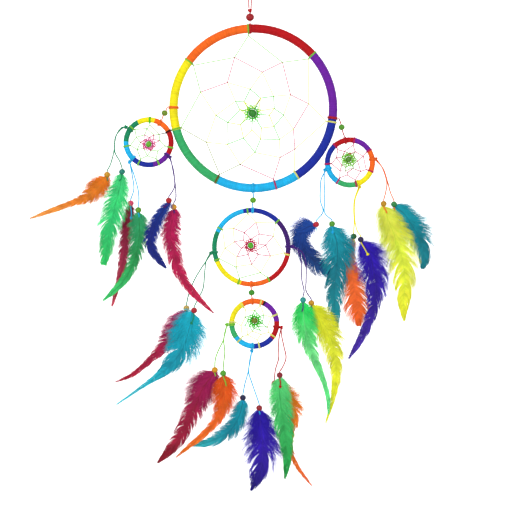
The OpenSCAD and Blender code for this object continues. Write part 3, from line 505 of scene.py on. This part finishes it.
def group(name, inputs, outputs):
    """An empty node group with named inputs, each with its kind and value, and named outputs."""
    g = bpy.data.node_groups.new(name, "ShaderNodeTree")
    for n, kind, value in inputs:
        k = g.interface.new_socket(name=n, in_out="INPUT", socket_type="NodeSocket" + kind)
        k.default_value = value
    for n, kind in outputs:
        g.interface.new_socket(name=n, in_out="OUTPUT", socket_type="NodeSocket" + kind)
    return g, g.nodes.new("NodeGroupInput"), g.nodes.new("NodeGroupOutput")


def node(tree, kind, values=(), **props):
    """A node of a tree with its properties and input values set."""
    n = tree.nodes.new("ShaderNode" + kind)
    for k, v in props.items():
        setattr(n, k, v)
    for k, v in dict(values).items():
        n.inputs[k].default_value = v
    return n


def fibre_dye():
    """Dyed yarn: the dye goes darker and lighter in fine streaks along the fibre and in broad
    uneven patches, and the same streaks give the height of the fibres."""
    g, i, o = group("fibre_dye", [("Dye", "Color", (1, 1, 1, 1)), ("Lay", "Vector", (0, 0, 0)),
                                  ("Streak", "Float", 0.25), ("Patch", "Float", 0.12)],
                    [("Color", "Color"), ("Height", "Float"), ("Roughness", "Float")])
    fine = node(g, "TexNoise", {"Scale": 7.0, "Detail": 3.0, "Roughness": 0.6})
    wide = node(g, "TexNoise", {"Scale": 130.0, "Detail": 2.0})
    at = node(g, "TexCoord")
    mix = node(g, "Mix", data_type="RGBA", blend_type="MULTIPLY", clamp_result=False)
    L = g.links.new
    L(i.outputs["Lay"], fine.inputs["Vector"])
    L(at.outputs["Object"], wide.inputs["Vector"])
    a = node(g, "MapRange", {"From Min": 0.3, "From Max": 0.7})
    b = node(g, "MapRange", {"From Min": 0.3, "From Max": 0.7})
    for noise, ramp, key in ((fine, a, "Streak"), (wide, b, "Patch")):
        low = node(g, "Math", {0: 1.0}, operation="SUBTRACT")
        high = node(g, "Math", {0: 1.0}, operation="ADD")
        half = node(g, "Math", {1: 0.5}, operation="MULTIPLY")
        L(i.outputs[key], low.inputs[1])
        L(i.outputs[key], half.inputs[0])
        L(half.outputs[0], high.inputs[1])
        L(noise.outputs["Fac"], ramp.inputs["Value"])
        L(low.outputs[0], ramp.inputs["To Min"])
        L(high.outputs[0], ramp.inputs["To Max"])
    m = node(g, "Math", operation="MULTIPLY")
    L(a.outputs[0], m.inputs[0])
    L(b.outputs[0], m.inputs[1])
    c = node(g, "CombineColor")
    for k in range(3):
        L(m.outputs[0], c.inputs[k])
    mix.inputs[0].default_value = 1.0
    L(i.outputs["Dye"], mix.inputs[6])
    L(c.outputs[0], mix.inputs[7])
    L(mix.outputs[2], o.inputs["Color"])
    L(fine.outputs["Fac"], o.inputs["Height"])
    rough = node(g, "MapRange", {"To Min": 0.45, "To Max": 0.75})
    L(wide.outputs["Fac"], rough.inputs["Value"])
    L(rough.outputs[0], o.inputs["Roughness"])
    return g


FIBRE = fibre_dye()


def fibre_material(name, scale, streak, patch, bump, sheen, coat=0.0, spec=0.4):
    """A yarn, cord or feather finish: fibre_dye over the dye attribute, laid along the map."""
    m = bpy.data.materials.new(name)
    m.use_nodes = True
    t = m.node_tree
    p = t.nodes["Principled BSDF"]
    p.inputs["Sheen Weight"].default_value = sheen
    p.inputs["Coat Weight"].default_value = coat
    p.inputs["Specular IOR Level"].default_value = spec
    uv = node(t, "UVMap", uv_map="lay")
    mp = node(t, "Mapping", {"Scale": scale})
    at = node(t, "Attribute", attribute_name="dye")
    gr = node(t, "Group", node_tree=FIBRE)
    gr.inputs["Streak"].default_value = streak
    gr.inputs["Patch"].default_value = patch
    bp = node(t, "Bump", {"Strength": bump, "Distance": 0.0002})
    L = t.links.new
    L(uv.outputs[0], mp.inputs["Vector"])
    L(mp.outputs[0], gr.inputs["Lay"])
    L(at.outputs["Color"], gr.inputs["Dye"])
    L(gr.outputs["Color"], p.inputs["Base Color"])
    L(gr.outputs["Roughness"], p.inputs["Roughness"])
    L(gr.outputs["Height"], bp.inputs["Height"])
    L(bp.outputs[0], p.inputs["Normal"])
    return m


def turned_wood(name, coat, ring):
    """Painted or bare turned wood: rings of grain across the bead darken the paint a little and
    lift it, and a coat gives the gloss."""
    m = bpy.data.materials.new(name)
    m.use_nodes = True
    t = m.node_tree
    p = t.nodes["Principled BSDF"]
    p.inputs["Coat Weight"].default_value = coat
    p.inputs["Coat Roughness"].default_value = 0.06
    p.inputs["Specular IOR Level"].default_value = 0.15
    at = node(t, "Attribute", attribute_name="dye")
    co = node(t, "TexCoord")
    mp = node(t, "Mapping", {"Rotation": (0.4, 0.3, 0.0)})
    wave = node(t, "TexWave", {"Scale": 260.0, "Distortion": 5.0, "Detail": 3.0}, wave_type="BANDS")
    noise = node(t, "TexNoise", {"Scale": 900.0, "Detail": 3.0})
    a = node(t, "MapRange", {"To Min": 1 - ring, "To Max": 1.05})
    c = node(t, "CombineColor")
    mix = node(t, "Mix", {0: 1.0}, data_type="RGBA", blend_type="MULTIPLY")
    r = node(t, "MapRange", {"To Min": 0.22, "To Max": 0.45})
    bp = node(t, "Bump", {"Strength": 0.25, "Distance": 0.0001})
    L = t.links.new
    L(co.outputs["Object"], mp.inputs["Vector"])
    L(mp.outputs[0], wave.inputs["Vector"])
    L(mp.outputs[0], noise.inputs["Vector"])
    L(wave.outputs["Fac"], a.inputs["Value"])
    for k in range(3):
        L(a.outputs[0], c.inputs[k])
    L(at.outputs["Color"], mix.inputs[6])
    L(c.outputs[0], mix.inputs[7])
    L(mix.outputs[2], p.inputs["Base Color"])
    L(noise.outputs["Fac"], r.inputs["Value"])
    L(r.outputs[0], p.inputs["Roughness"])
    L(noise.outputs["Fac"], bp.inputs["Height"])
    L(bp.outputs[0], p.inputs["Normal"])
    return m


WOUND = fibre_material("wound_thread", (1.2, 9, 1), 0.22, 0.1, 0.35, 0.0, spec=0.15)
THREAD = fibre_material("web_thread", (1.6, 5, 1), 0.18, 0.06, 0.3, 0.0, spec=0.1)
WAXED = fibre_material("waxed_cord", (0.9, 4, 1), 0.22, 0.08, 0.3, 0.0, coat=0.08, spec=0.2)
BARBS = fibre_material("dyed_barbs", (1.3, 11, 1), 0.2, 0.14, 0.25, 0.05, spec=0.12)
PAINT = turned_wood("painted_wood", 0.25, 0.12)
BAMBOO = turned_wood("bare_hoop_wood", 0.0, 0.35)

# ---- camera ----

LENS, SENSOR = 135, 36
SEEN_WIDTH = 0.4807  # what the camera takes in across the object, in metres
cam = bpy.data.cameras.new("camera")
cam.lens, cam.sensor_width = LENS, SENSOR
cam.clip_start, cam.clip_end = 0.05, 20
view = bpy.data.objects.new("camera", cam)
view.location = (0.00285, -SEEN_WIDTH * LENS / SENSOR, -0.28195)
view.rotation_euler = (math.pi / 2, 0, 0)
bpy.context.scene.collection.objects.link(view)
bpy.context.scene.camera = view

# ---- cords ----

SLOTS = {"sea": "sea_cord", "cyan": "cyan_cord", "violet": "purple_cord", "yellow": "yellow_cord",
         "orange": "orange_cord", "lime": "lime_cord", "red": "red_cord"}


def strand_path(t, k):
    """Strand k's line from its start beside the tie to the top of its bead, and the bead's
    centre. Depth runs evenly from the start to the strand's own."""
    h, a, depths, routes = HOOPS[t[0]], t[1], (t[2], t[3]), (t[5], t[6])
    mean, y = (depths[0] + depths[1]) / 2, depths[k]
    p = hinge_at(h, a, mean)
    s = hinge_at(h, a, mean + math.copysign(STRAND_PART, y - mean))
    r = np.array(routes[k], float)
    f = (np.arange(len(r)) + 1) / len(r)
    pts = np.stack([p[0] + r[:, 0], s[1] + (y - s[1]) * f, p[2] + r[:, 1]], 1)
    bead_at = pts[-1] - [0, 0, BEAD_GAP + SMALL_BEAD / 2]
    return np.vstack([s, pts]), bead_at


BEAD_AT = {}
for tassel_name, t in TASSELS.items():
    for k, letter in enumerate("ab"):
        line, bead_at = strand_path(t, k)
        BEAD_AT[PAIRS[tassel_name][k][0]] = bead_at
        line = even(smooth(line, 12), STEP)
        piece = Piece()
        tube(piece, line, CORD_D / 2, dye(t[4]), 9, plies=2, pitch=1.9 + 0.2 * k)
        ob = piece.make(f"{tassel_name}_strand_{letter}", WAXED, f"{tassel_name}_tassel",
                        f"{tassel_name}_cord", SLOTS[t[4]])
        metres = line * MM
        tuple(metres[0])

for tassel_name, t in TASSELS.items():
    piece = Piece()
    knot(piece, hinge_at(HOOPS[t[0]], t[1], (t[2] + t[3]) / 2), 3.0, dye(t[4]), t[1] / 40)
    piece.make(f"{tassel_name}_knot", WAXED, f"{tassel_name}_tassel", f"{tassel_name}_cord",
               SLOTS[t[4]])

half = np.array([[x, 0, z] for x, z in LOOP], float)
foot = np.array([[1.0, 0, -49.55]])
right_half = np.vstack([half, foot])
left_half = (right_half * [-1, 1, 1])[::-1]
line = even(smooth(np.vstack([left_half[:-1], right_half]), 10), STEP)
piece = Piece()
tube(piece, line, CORD_D / 2, dye("red"), 9, plies=2)
ob = piece.make("loop_cord", WAXED, "hanger", "hanging_loop", "red_cord")
metres = line * MM
tuple(metres[0])
piece = Piece()
knot(piece, (0, 0, -51.6), 3.3, dye("red"), 0.3)
knot(piece, (0, 0, -51.9), 2.4, dye("red"), 2.0)
piece.make("loop_knot", WAXED, "hanger", "hanging_loop", "red_cord")

# ---- top bead and links ----

TOP_BEAD = (0, 0, -57.95)
piece = Piece()
line = even([[0, 0, -53.6], TOP_BEAD, [0, 0, -62.4]], STEP)
tube(piece, line, CORD_D / 2, dye("red"), 9, plies=2)
piece.make("top_bead_cord", WAXED, "top", "top_bead", "red_cord")
piece = Piece()
bead_wood(piece, TOP_BEAD, BIG_BEAD, dye("b01420"))
piece.make("top_bead_wood", PAINT, "top", "top_bead", "red_bead")

for name, p, q, c, paint in (
        ("middle", hinge_at(main, 270), hinge_at(middle, 88), "cyan", "6ab81c"),
        ("left", hinge_at(main, 179.5), hinge_at(left, 60), "orange", "7a9a1c"),
        ("right", hinge_at(main, 353), hinge_at(right, 102), "red", "5aa820"),
        ("lower", hinge_at(middle, 270), hinge_at(lower, 95), "orange", "3fa020")):
    tilt = math.atan2((q - p)[0], -(q - p)[2])
    piece = Piece()
    bend = np.array([[0, 0, 0], [0.35, 0, 0], [0, 0, 0], [-0.3, 0, 0], [0, 0, 0]])
    line = p + (q - p) * np.linspace(0, 1, 5)[:, None] + bend
    line[0] -= unit(q - p) * 1.0
    line[-1] += unit(q - p) * 1.0
    tube(piece, even(smooth(line, 8), STEP), CORD_D / 2, dye(c), 9, plies=2)
    piece.make(f"{name}_link_cord", WAXED, f"{name}_link_body", f"{name}_link", SLOTS[c])
    piece = Piece()
    bead_wood(piece, (p + q) / 2, SMALL_BEAD, dye(paint), -tilt)
    piece.make(f"{name}_link_bead", PAINT, f"{name}_link_body", f"{name}_link", "green_bead")

# ---- hoops ----

SPOKE, WIDE_SPOKE = 3, 13  # how far from its bead a web knot still gets a thread to the bead


def winding(h, stops, seed):
    """Thread wound round a hoop: one helix of turns. On the grid of steps along the hoop by
    points round the tube, the radius is tube / 2 - 0.3 (1 - sqrt(1 - 0.92 (2s - 1)^2)) with s the
    place within a turn, and a full way round the tube moves on by one turn."""
    rng = np.random.default_rng(seed)
    turns = int(round(2 * math.pi * rho(h) / 0.9))
    steps, cols = 6, 18
    rows = turns * steps
    a = np.linspace(0, 1, cols, endpoint=False)
    s = (np.arange(rows) / steps)[:, None] + 0 * a[None]
    within = s % 1
    loose = rng.normal(0, 0.05, turns)[(s.astype(int)) % turns]
    r = h[2] / 2 - 0.3 * (1 - np.sqrt(1 - 0.92 * (2 * within - 1) ** 2)) + loose
    along = (s + a[None] + 0.12 * loose * 10) / turns * 2 * math.pi
    first = math.radians(stops[0])
    e = np.stack([np.cos(along + first), 0 * along, np.sin(along + first)], -1)
    out = 2 * math.pi * a[None] + 0 * s
    v = h[0] + e * (rho(h) + r * np.cos(out))[..., None]
    v = v - np.array([0, 1, 0]) * (r * np.sin(out))[..., None]
    deg = (s.astype(int) % turns + 0.5) / turns * 360
    starts = np.array(stops[::2]) - stops[0]
    which = np.searchsorted(starts, deg, side="right") - 1
    colours = np.array([dye(n) for n in stops[1::2]])[which]
    shade = rng.normal(1, 0.05, turns)[(s.astype(int)) % turns]
    colours = colours * np.clip(shade, 0.85, 1.15)[..., None]
    i = np.arange(rows)[:, None]
    j = np.arange(cols)[None]
    on = lambda i, j: ((i + np.where(j >= cols, steps, 0)) % rows) * cols + j % cols
    f = np.stack([on(i, j), on(i, j + 1), on(i + 1, j + 1), on(i + 1, j)], -1).reshape(-1, 4)
    p = Piece()
    p.add(v, f, colours.reshape(-1, 3), np.stack([a[None] * math.pi * h[2] + 0 * s, s], -1))
    return p


for n, (name, h) in enumerate(HOOPS.items()):
    body = f"{name}_hoop"
    winding(h, WINDINGS[name], n).make(f"{name}_winding", WOUND, body, f"{name}_wrap",
                                       "wrap_thread")
    piece = Piece()
    own = [(t[1], t[4]) for t in TASSELS.values() if t[0] == name]
    for a, c in list(TIES[name]) + own:
        gap = math.degrees(0.62 / rho(h))
        for off in (-gap, gap):
            tube(piece, ring_path(h, a + off, h[2] / 2 + 0.5, 36), TURN_R, dye(c), 8, closed=True,
                 side=polar(1, a + off + 90))
    piece.make(f"{name}_ties", WAXED, body, f"{name}_wrap", "wrap_thread")
    piece = Piece()
    rng = np.random.default_rng(50 + n)
    for a, c in WEB_TURNS[name]:
        gap = math.degrees(0.4 / rho(h))
        for off in (-gap, gap):
            tube(piece, ring_path(h, a + off, h[2] / 2 + 0.3, 28), THREAD_D / 2, dye(c), 6,
                 closed=True, side=polar(1, a + off + 90))
        inner = polar(rho(h) - h[2] / 2 - 0.4, a)
        ends = np.array([r[i] for _, r in WEBS[name] for i in (0, -1)] +
                        [q for _, r in WEBS[name] for q in r])
        near = ends[np.argmin(np.hypot(ends[:, 0] - inner[0], ends[:, 1] - inner[2]))]
        tube(piece, even([h[0] + inner * 1.01, h[0] + [near[0], 0, near[1]]], 0.8),
             THREAD_D / 2, dye(c), 6)
        blob(piece, h[0] + inner * 0.995, 0.7, dye(c))
    for c, run in WEBS[name]:
        q = np.array([[x, 0, z] for x, z in run], float)
        q[:, 1] = rng.normal(0, 0.15, len(q))
        line = np.vstack([even(np.stack([a, b]), 1.2)[:-1] for a, b in zip(q[:-1], q[1:])] +
                         [q[-1:]])
        tube(piece, line + h[0], THREAD_D / 2, dye(c), 6)
        for at in q:
            blob(piece, at + h[0], rng.uniform(0.55, 0.75), dye(c) * rng.uniform(0.7, 0.95))
    (bx, bz), d, paint = NET_BEADS[name]
    centre = h[0] + [bx, 0, bz]
    inner_c, wide = NET_WINDINGS[name]
    for k in range(5):
        f = np.linspace(0, 2 * math.pi, 71, endpoint=False)[:, None]
        star = 1 - np.abs(np.sin(3.5 * (f if k % 2 else f + 0.45)))
        rr = d / 2 + 0.45 + (0.25 * k if k < 3 else 0.6) + (wide * star if k > 2 else 0)
        loop = centre + np.array([1, 0, 0]) * rr * np.cos(f) + np.array([0, 0, 1]) * rr * np.sin(f)
        tube(piece, loop + [0, (-0.9, 0.9, 0, -0.3, 0.3)[k], 0], THREAD_D / 2,
             dye(inner_c) * (0.8 + 0.07 * k), 6, closed=True)
    spokes = np.array([q for _, r in WEBS[name][-2:] for q in r])
    away = np.hypot(spokes[:, 0] - bx, spokes[:, 1] - bz)
    near = spokes[away < d / 2 + (WIDE_SPOKE if name == "main" else SPOKE)]
    for x, z in near[:9]:
        rim = centre + unit(np.array([x - bx, 0, z - bz])) * d * 0.4
        tube(piece, even([h[0] + [x, 0, z], rim], 0.8), THREAD_D / 2, dye(inner_c), 6)
    piece.make(f"{name}_net", THREAD, body, f"{name}_web", "web_thread")
    piece = Piece()
    bead_wood(piece, centre, d, dye(paint), 0.5 + 0.7 * n)
    piece.make(f"{name}_net_bead", PAINT, body, f"{name}_web_bead", "green_bead")

# ---- feathers ----


def feather(piece, at, spec, seed):
    """A dyed feather from its bead down. The shaft is a thin tube along the smooth spine. Each barb
    is a ribbon along the quadratic curve from the shaft to a point half the width from the spine
    further on, where the way further on closes up towards the tip as 1 - exp(-x). Barbs draw
    together in clumps of uneven length, which leaves slits, and down grows between them."""
    spine, base, mid, tip, core, down, ragged = spec
    rng = np.random.default_rng(seed)
    p = smooth(np.array([[0, -0.8, 1.5]] + spine, float), 24)
    s = np.r_[0, np.cumsum(np.hypot(*np.diff(p[:, :2], axis=0).T))]
    length = s[-1]
    s = s / length
    tan = unit(np.gradient(p[:, :2], axis=0))
    cols = np.clip(1.2 * np.array([linear(c) for c in (base, mid, tip)]) + 0.01, 0, 1)
    heart = linear(core)

    def on(t, arr):
        return np.stack([np.interp(t, s, arr[:, k]) for k in range(arr.shape[1])], -1)

    def ramp(t):
        return np.stack([np.interp(t, [0.05, 0.45, 0.9], cols[:, i]) for i in range(3)], -1)

    def ribbons(line, half, roll, colour, ids):
        """Flat ribbons along lines of points, half wide each way, turned about themselves."""
        d = unit(np.gradient(line[..., :2], axis=1))
        q = np.stack([-d[..., 1], d[..., 0]], -1)
        v = np.empty(line.shape[:2] + (2, 3))
        for k, sign in enumerate((-1, 1)):
            e = line[..., :2] + sign * half[..., None] * q
            v[:, :, k, 0] = e[..., 0]
            v[:, :, k, 2] = e[..., 1]
            v[:, :, k, 1] = line[..., 2] + sign * roll
        n, m = line.shape[:2]
        i = (np.arange(n) * m * 2)[:, None] + 2 * np.arange(m - 1)[None]
        f = np.stack([i, i + 1, i + 3, i + 2], -1).reshape(-1, 4)
        u = np.broadcast_to(np.linspace(0, 1, m)[None, :, None] * 8, (n, m, 2))
        w = np.broadcast_to(ids[:, None, None] * 3.7, (n, m, 2)) + np.array([0, 0.08])
        piece.add(v + at, f, np.repeat(colour[:, :, None], 2, 2).reshape(-1, 3),
                  np.stack([u, w], -1))

    count = int(length / 0.28)
    for side in (-1, 1):
        tb = np.linspace(0.015, 0.99, count) + rng.normal(0, 0.001, count)
        sizes = rng.integers(5, 24, count)
        cut = np.cumsum(sizes)
        which = np.searchsorted(cut, np.arange(count), side="right")
        q = 2 * (np.arange(count) - np.r_[0, cut][which] + 0.5) / sizes[which] - 1
        w = np.interp(tb, s, p[:, 2])
        lean = np.interp(tb, [0, 0.5, 1], [48, 34, 20])
        ang = np.radians(lean + 5 * rng.normal(0, 1, count + 20)[which])
        more = np.maximum(w / 2, 0.8) / np.tan(ang) / length
        wild = ragged * (1 if ragged >= 1 else np.interp(tb, [0.25, 0.7], [1, 0.35]))
        split = rng.random(count + 20)[which] < 0.4
        pull = np.minimum(wild, 1) * np.interp(w, [2, 9], [0.2, 1]) * np.where(split, 0.85, 0.3)
        more = more - q * pull * sizes[which] / count / 2
        tt = tb + (1 - tb) * (1 - np.exp(-np.maximum(more, 0.002) / np.maximum(1 - tb, 0.004)))
        clump = rng.normal(0, 1, count + 20)[which]
        f = 1.03 + wild * (0.1 * clump - 0.08 * q ** 2) + rng.normal(0, 0.05 + 0.07 * wild, count)
        f = np.clip(f, 0.35, 1.4)
        reach_out = np.interp(tt, s, p[:, 2]) / 2 * f
        c0, c2 = on(tb, p[:, :2]), on(tt, p[:, :2])
        t0, t2 = unit(on(tb, tan)), unit(on(tt, tan))
        n0 = np.stack([-t0[:, 1], t0[:, 0]], -1) * side
        n2 = np.stack([-t2[:, 1], t2[:, 0]], -1) * side
        end = c2 + n2 * reach_out[:, None]
        dist = np.linalg.norm(end - c0, axis=1)[:, None]
        ctrl = c0 + (t0 * 0.5 + n0 * 0.87) * dist * 0.45
        u = np.linspace(0, 1, 7)[None, :, None]
        xz = (1 - u) ** 2 * c0[:, None] + 2 * u * (1 - u) * ctrl[:, None] + u ** 2 * end[:, None]
        y = (0.4 * u[..., 0] ** 2 * (reach_out[:, None] / 10) + rng.normal(0, 0.12, (count, 1))
             * u[..., 0] + 0.2 * clump[:, None] * u[..., 0])
        line = np.concatenate([xz, y[..., None]], -1)
        half = 0.28 * (1 - 0.84 * u[..., 0] ** 1.3) * np.minimum(1, 0.4 + w[:, None] / 12)
        roll = rng.normal(0, 0.05, (count, 1)) + 0.03
        shade = (1 + 0.1 * clump + rng.normal(0, 0.08, count))[:, None, None]
        body = ramp(tb)[:, None] * np.clip(shade, 0.6, 1.4)
        k = (1 - u) ** 1.5 * 0.6 * np.interp(tb, [0, 0.6, 1], [1, 0.6, 0.2])[:, None, None]
        ribbons(line, half, roll, np.clip(body * (1 - k) + heart * k, 0, 1), rng.random(count))
        many = int(down * 36)
        tb = rng.beta(1.0, 1.9, many) * min(0.5, 36 / length) + 0.008
        c0, t0 = on(tb, p[:, :2]), unit(on(tb, tan))
        n0 = np.stack([-t0[:, 1], t0[:, 0]], -1) * side
        w = np.interp(np.minimum(tb + 0.08, 1), s, p[:, 2])
        a = np.radians(rng.uniform(12, 80, many))
        go = t0 * np.cos(a)[:, None] + n0 * np.sin(a)[:, None]
        far = rng.uniform(0.45, 1.0, many) * (0.28 * down + 0.5 * w) * (0.5 + 0.5 * np.sin(1.7 * a))
        u = np.linspace(0, 1, 8)[None, :, None]
        wave = np.sin(u * rng.uniform(3, 9, (many, 1, 1)) + rng.uniform(0, 6, (many, 1, 1)))
        across = np.stack([-go[:, 1], go[:, 0]], -1)[:, None]
        xz = (c0[:, None] + go[:, None] * far[:, None, None] * u + across * wave * u * 0.8
              + t0[:, None] * far[:, None, None] * 0.35 * u ** 2)
        y = rng.normal(0, 0.5, (many, 1)) * u[..., 0] + 0.25 * wave[..., 0] * u[..., 0]
        line = np.concatenate([xz, y[..., None]], -1)
        half = 0.13 * (1 - 0.7 * u[..., 0]) * np.ones((many, 1))
        colour = np.clip(ramp(tb)[:, None] * rng.normal(1.15, 0.16, (many, 1, 1)) + 0 * u, 0, 1)
        ribbons(line, half, rng.normal(0, 0.06, (many, 1)), colour, rng.random(many))
    t = np.linspace(0, 1, 60)
    shaft = on(t, p[:, :2])
    path = np.stack([shaft[:, 0], np.full(60, -0.16), shaft[:, 1]], -1) + at
    tube(piece, path, np.interp(t, [0, 0.1, 1], [0.5, 0.36, 0.1]), heart * 0.35 + cols[1] * 0.65, 6)


for tassel_name, pair in PAIRS.items():
    cord_dye = TASSELS[tassel_name][4]
    for k, (name, paint) in enumerate(pair):
        at = BEAD_AT[name]
        seed = sum(ord(c) * (i + 3) for i, c in enumerate(name))
        piece = Piece()
        feather(piece, at, FEATHERS[name], seed)
        piece.make(f"{name}_plume", BARBS, f"{name}_plume", f"{name}_feather", f"{name}_vane")
        piece = Piece()
        bead_wood(piece, at, SMALL_BEAD, dye(paint), 0.12 * math.sin(seed), seed % 7)
        piece.make(f"{name}_bead", PAINT, f"{name}_plume", f"{name}_feather", "red_bead")
        dx, dz, tied = TAILS.get(name, (0.4, 3, 0))
        piece = Piece()
        line = smooth([at + [0, 0, 3.5], at + [0, 0, 1.5], at + [0, 0, -1.8], at + [0.1 * dx, -0.8, -3.6],
                       at + [0.5 * dx + 0.5, -1.1, -3 - 0.55 * dz], at + [dx, -1.0, -3 - dz]], 8)
        tube(piece, even(line, STEP), TURN_R, dye(cord_dye), 8, plies=2)
        if tied:
            knot(piece, at + [dx, -1.0, -3 - dz], 2.2, dye(cord_dye), seed)
        piece.make(f"{name}_tail", WAXED, f"{name}_plume", f"{name}_feather", SLOTS[cord_dye])

# ---- CAD nodes that stay: the bare rings inside the winding ----

for name in HOOPS:
    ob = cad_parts[f"{name}_ring"]
    attr = ob.data.attributes.new("dye", "FLOAT_COLOR", "POINT")
    attr.data.foreach_set("color", np.tile([*linear("c8a468"), 1.0], len(ob.data.vertices)))
    ob.material_slots[0].material = BAMBOO

# ---- stage ----


def stage_plane(name, corners, material):
    """A flat sheet from four corners."""
    me = bpy.data.meshes.new(name)
    me.from_pydata(corners, [], [(0, 1, 2, 3)])
    me.materials.append(material)
    ob = bpy.data.objects.new(name, me)
    bpy.context.scene.collection.objects.link(ob)
    return ob


def paper(name, lift, through):
    """White paper: a matt surface with a little light of its own to the camera and in gloss, and
    see-through from behind where it stands as a wall."""
    m = bpy.data.materials.new(name)
    m.use_nodes = True
    t = m.node_tree
    t.nodes.remove(t.nodes["Principled BSDF"])
    matt = node(t, "BsdfDiffuse", {"Color": (0.93, 0.93, 0.93, 1)})
    glow = node(t, "Emission", {"Strength": lift})
    ray = node(t, "LightPath")
    top = node(t, "Math", operation="MAXIMUM")
    power = node(t, "Math", {1: lift}, operation="MULTIPLY")
    add = node(t, "AddShader")
    L = t.links.new
    L(ray.outputs["Is Camera Ray"], top.inputs[0])
    L(ray.outputs["Is Glossy Ray"], top.inputs[1])
    L(top.outputs[0], power.inputs[0])
    L(power.outputs[0], glow.inputs["Strength"])
    L(matt.outputs[0], add.inputs[0])
    L(glow.outputs[0], add.inputs[1])
    out = add.outputs[0]
    if through:
        clear = node(t, "BsdfTransparent")
        back = node(t, "NewGeometry")
        mix = node(t, "MixShader")
        L(back.outputs["Backfacing"], mix.inputs[0])
        L(out, mix.inputs[1])
        L(clear.outputs[0], mix.inputs[2])
        out = mix.outputs[0]
    L(out, t.nodes["Material Output"].inputs["Surface"])
    return m


FLOOR_Z, WALL_Y, WALL_TOP = -0.62, 0.55, 0.6
stage_plane("floor", [(-4, -4, FLOOR_Z), (4, -4, FLOOR_Z), (4, 4, FLOOR_Z), (-4, 4, FLOOR_Z)],
            paper("floor_paper", 0.62, False))
stage_plane("wall", [(-1, WALL_Y, FLOOR_Z), (1, WALL_Y, FLOOR_Z), (1, WALL_Y, WALL_TOP),
                     (-1, WALL_Y, WALL_TOP)], paper("wall_paper", 0.8, True))

world = bpy.data.worlds.new("studio")
bpy.context.scene.world = world
world.use_nodes = True
t = world.node_tree
bg = t.nodes["Background"]
bg.inputs["Color"].default_value = (1, 1, 1, 1)
ray = node(t, "LightPath")
level = node(t, "MapRange", {"To Min": 0.46, "To Max": 1.0})
two = node(t, "Math", operation="MAXIMUM")
three = node(t, "Math", operation="MAXIMUM")
t.links.new(ray.outputs["Is Camera Ray"], two.inputs[0])
t.links.new(ray.outputs["Is Glossy Ray"], two.inputs[1])
t.links.new(two.outputs[0], three.inputs[0])
t.links.new(ray.outputs["Is Transmission Ray"], three.inputs[1])
t.links.new(three.outputs[0], level.inputs["Value"])
t.links.new(level.outputs[0], bg.inputs["Strength"])
for name, place, size, power in (("key", (-0.9, -1.5, 0.7), 1.0, 18), ("fill", (1.2, -1.6, 0.1), 1.4, 9),
                                 ("rear", (0.3, 1.6, 0.5), 1.4, 9)):
    lamp = bpy.data.lights.new(name, "AREA")
    lamp.size, lamp.energy = size, power
    ob = bpy.data.objects.new(name, lamp)
    ob.location = place
    aim = np.array([0, 0, -0.25]) - np.array(place)
    ob.rotation_euler = (math.acos(-aim[2] / np.linalg.norm(aim)), 0,
                         math.atan2(aim[1], aim[0]) - math.pi / 2)
    bpy.context.scene.collection.objects.link(ob)

bpy.context.scene.view_settings.view_transform = "Standard"
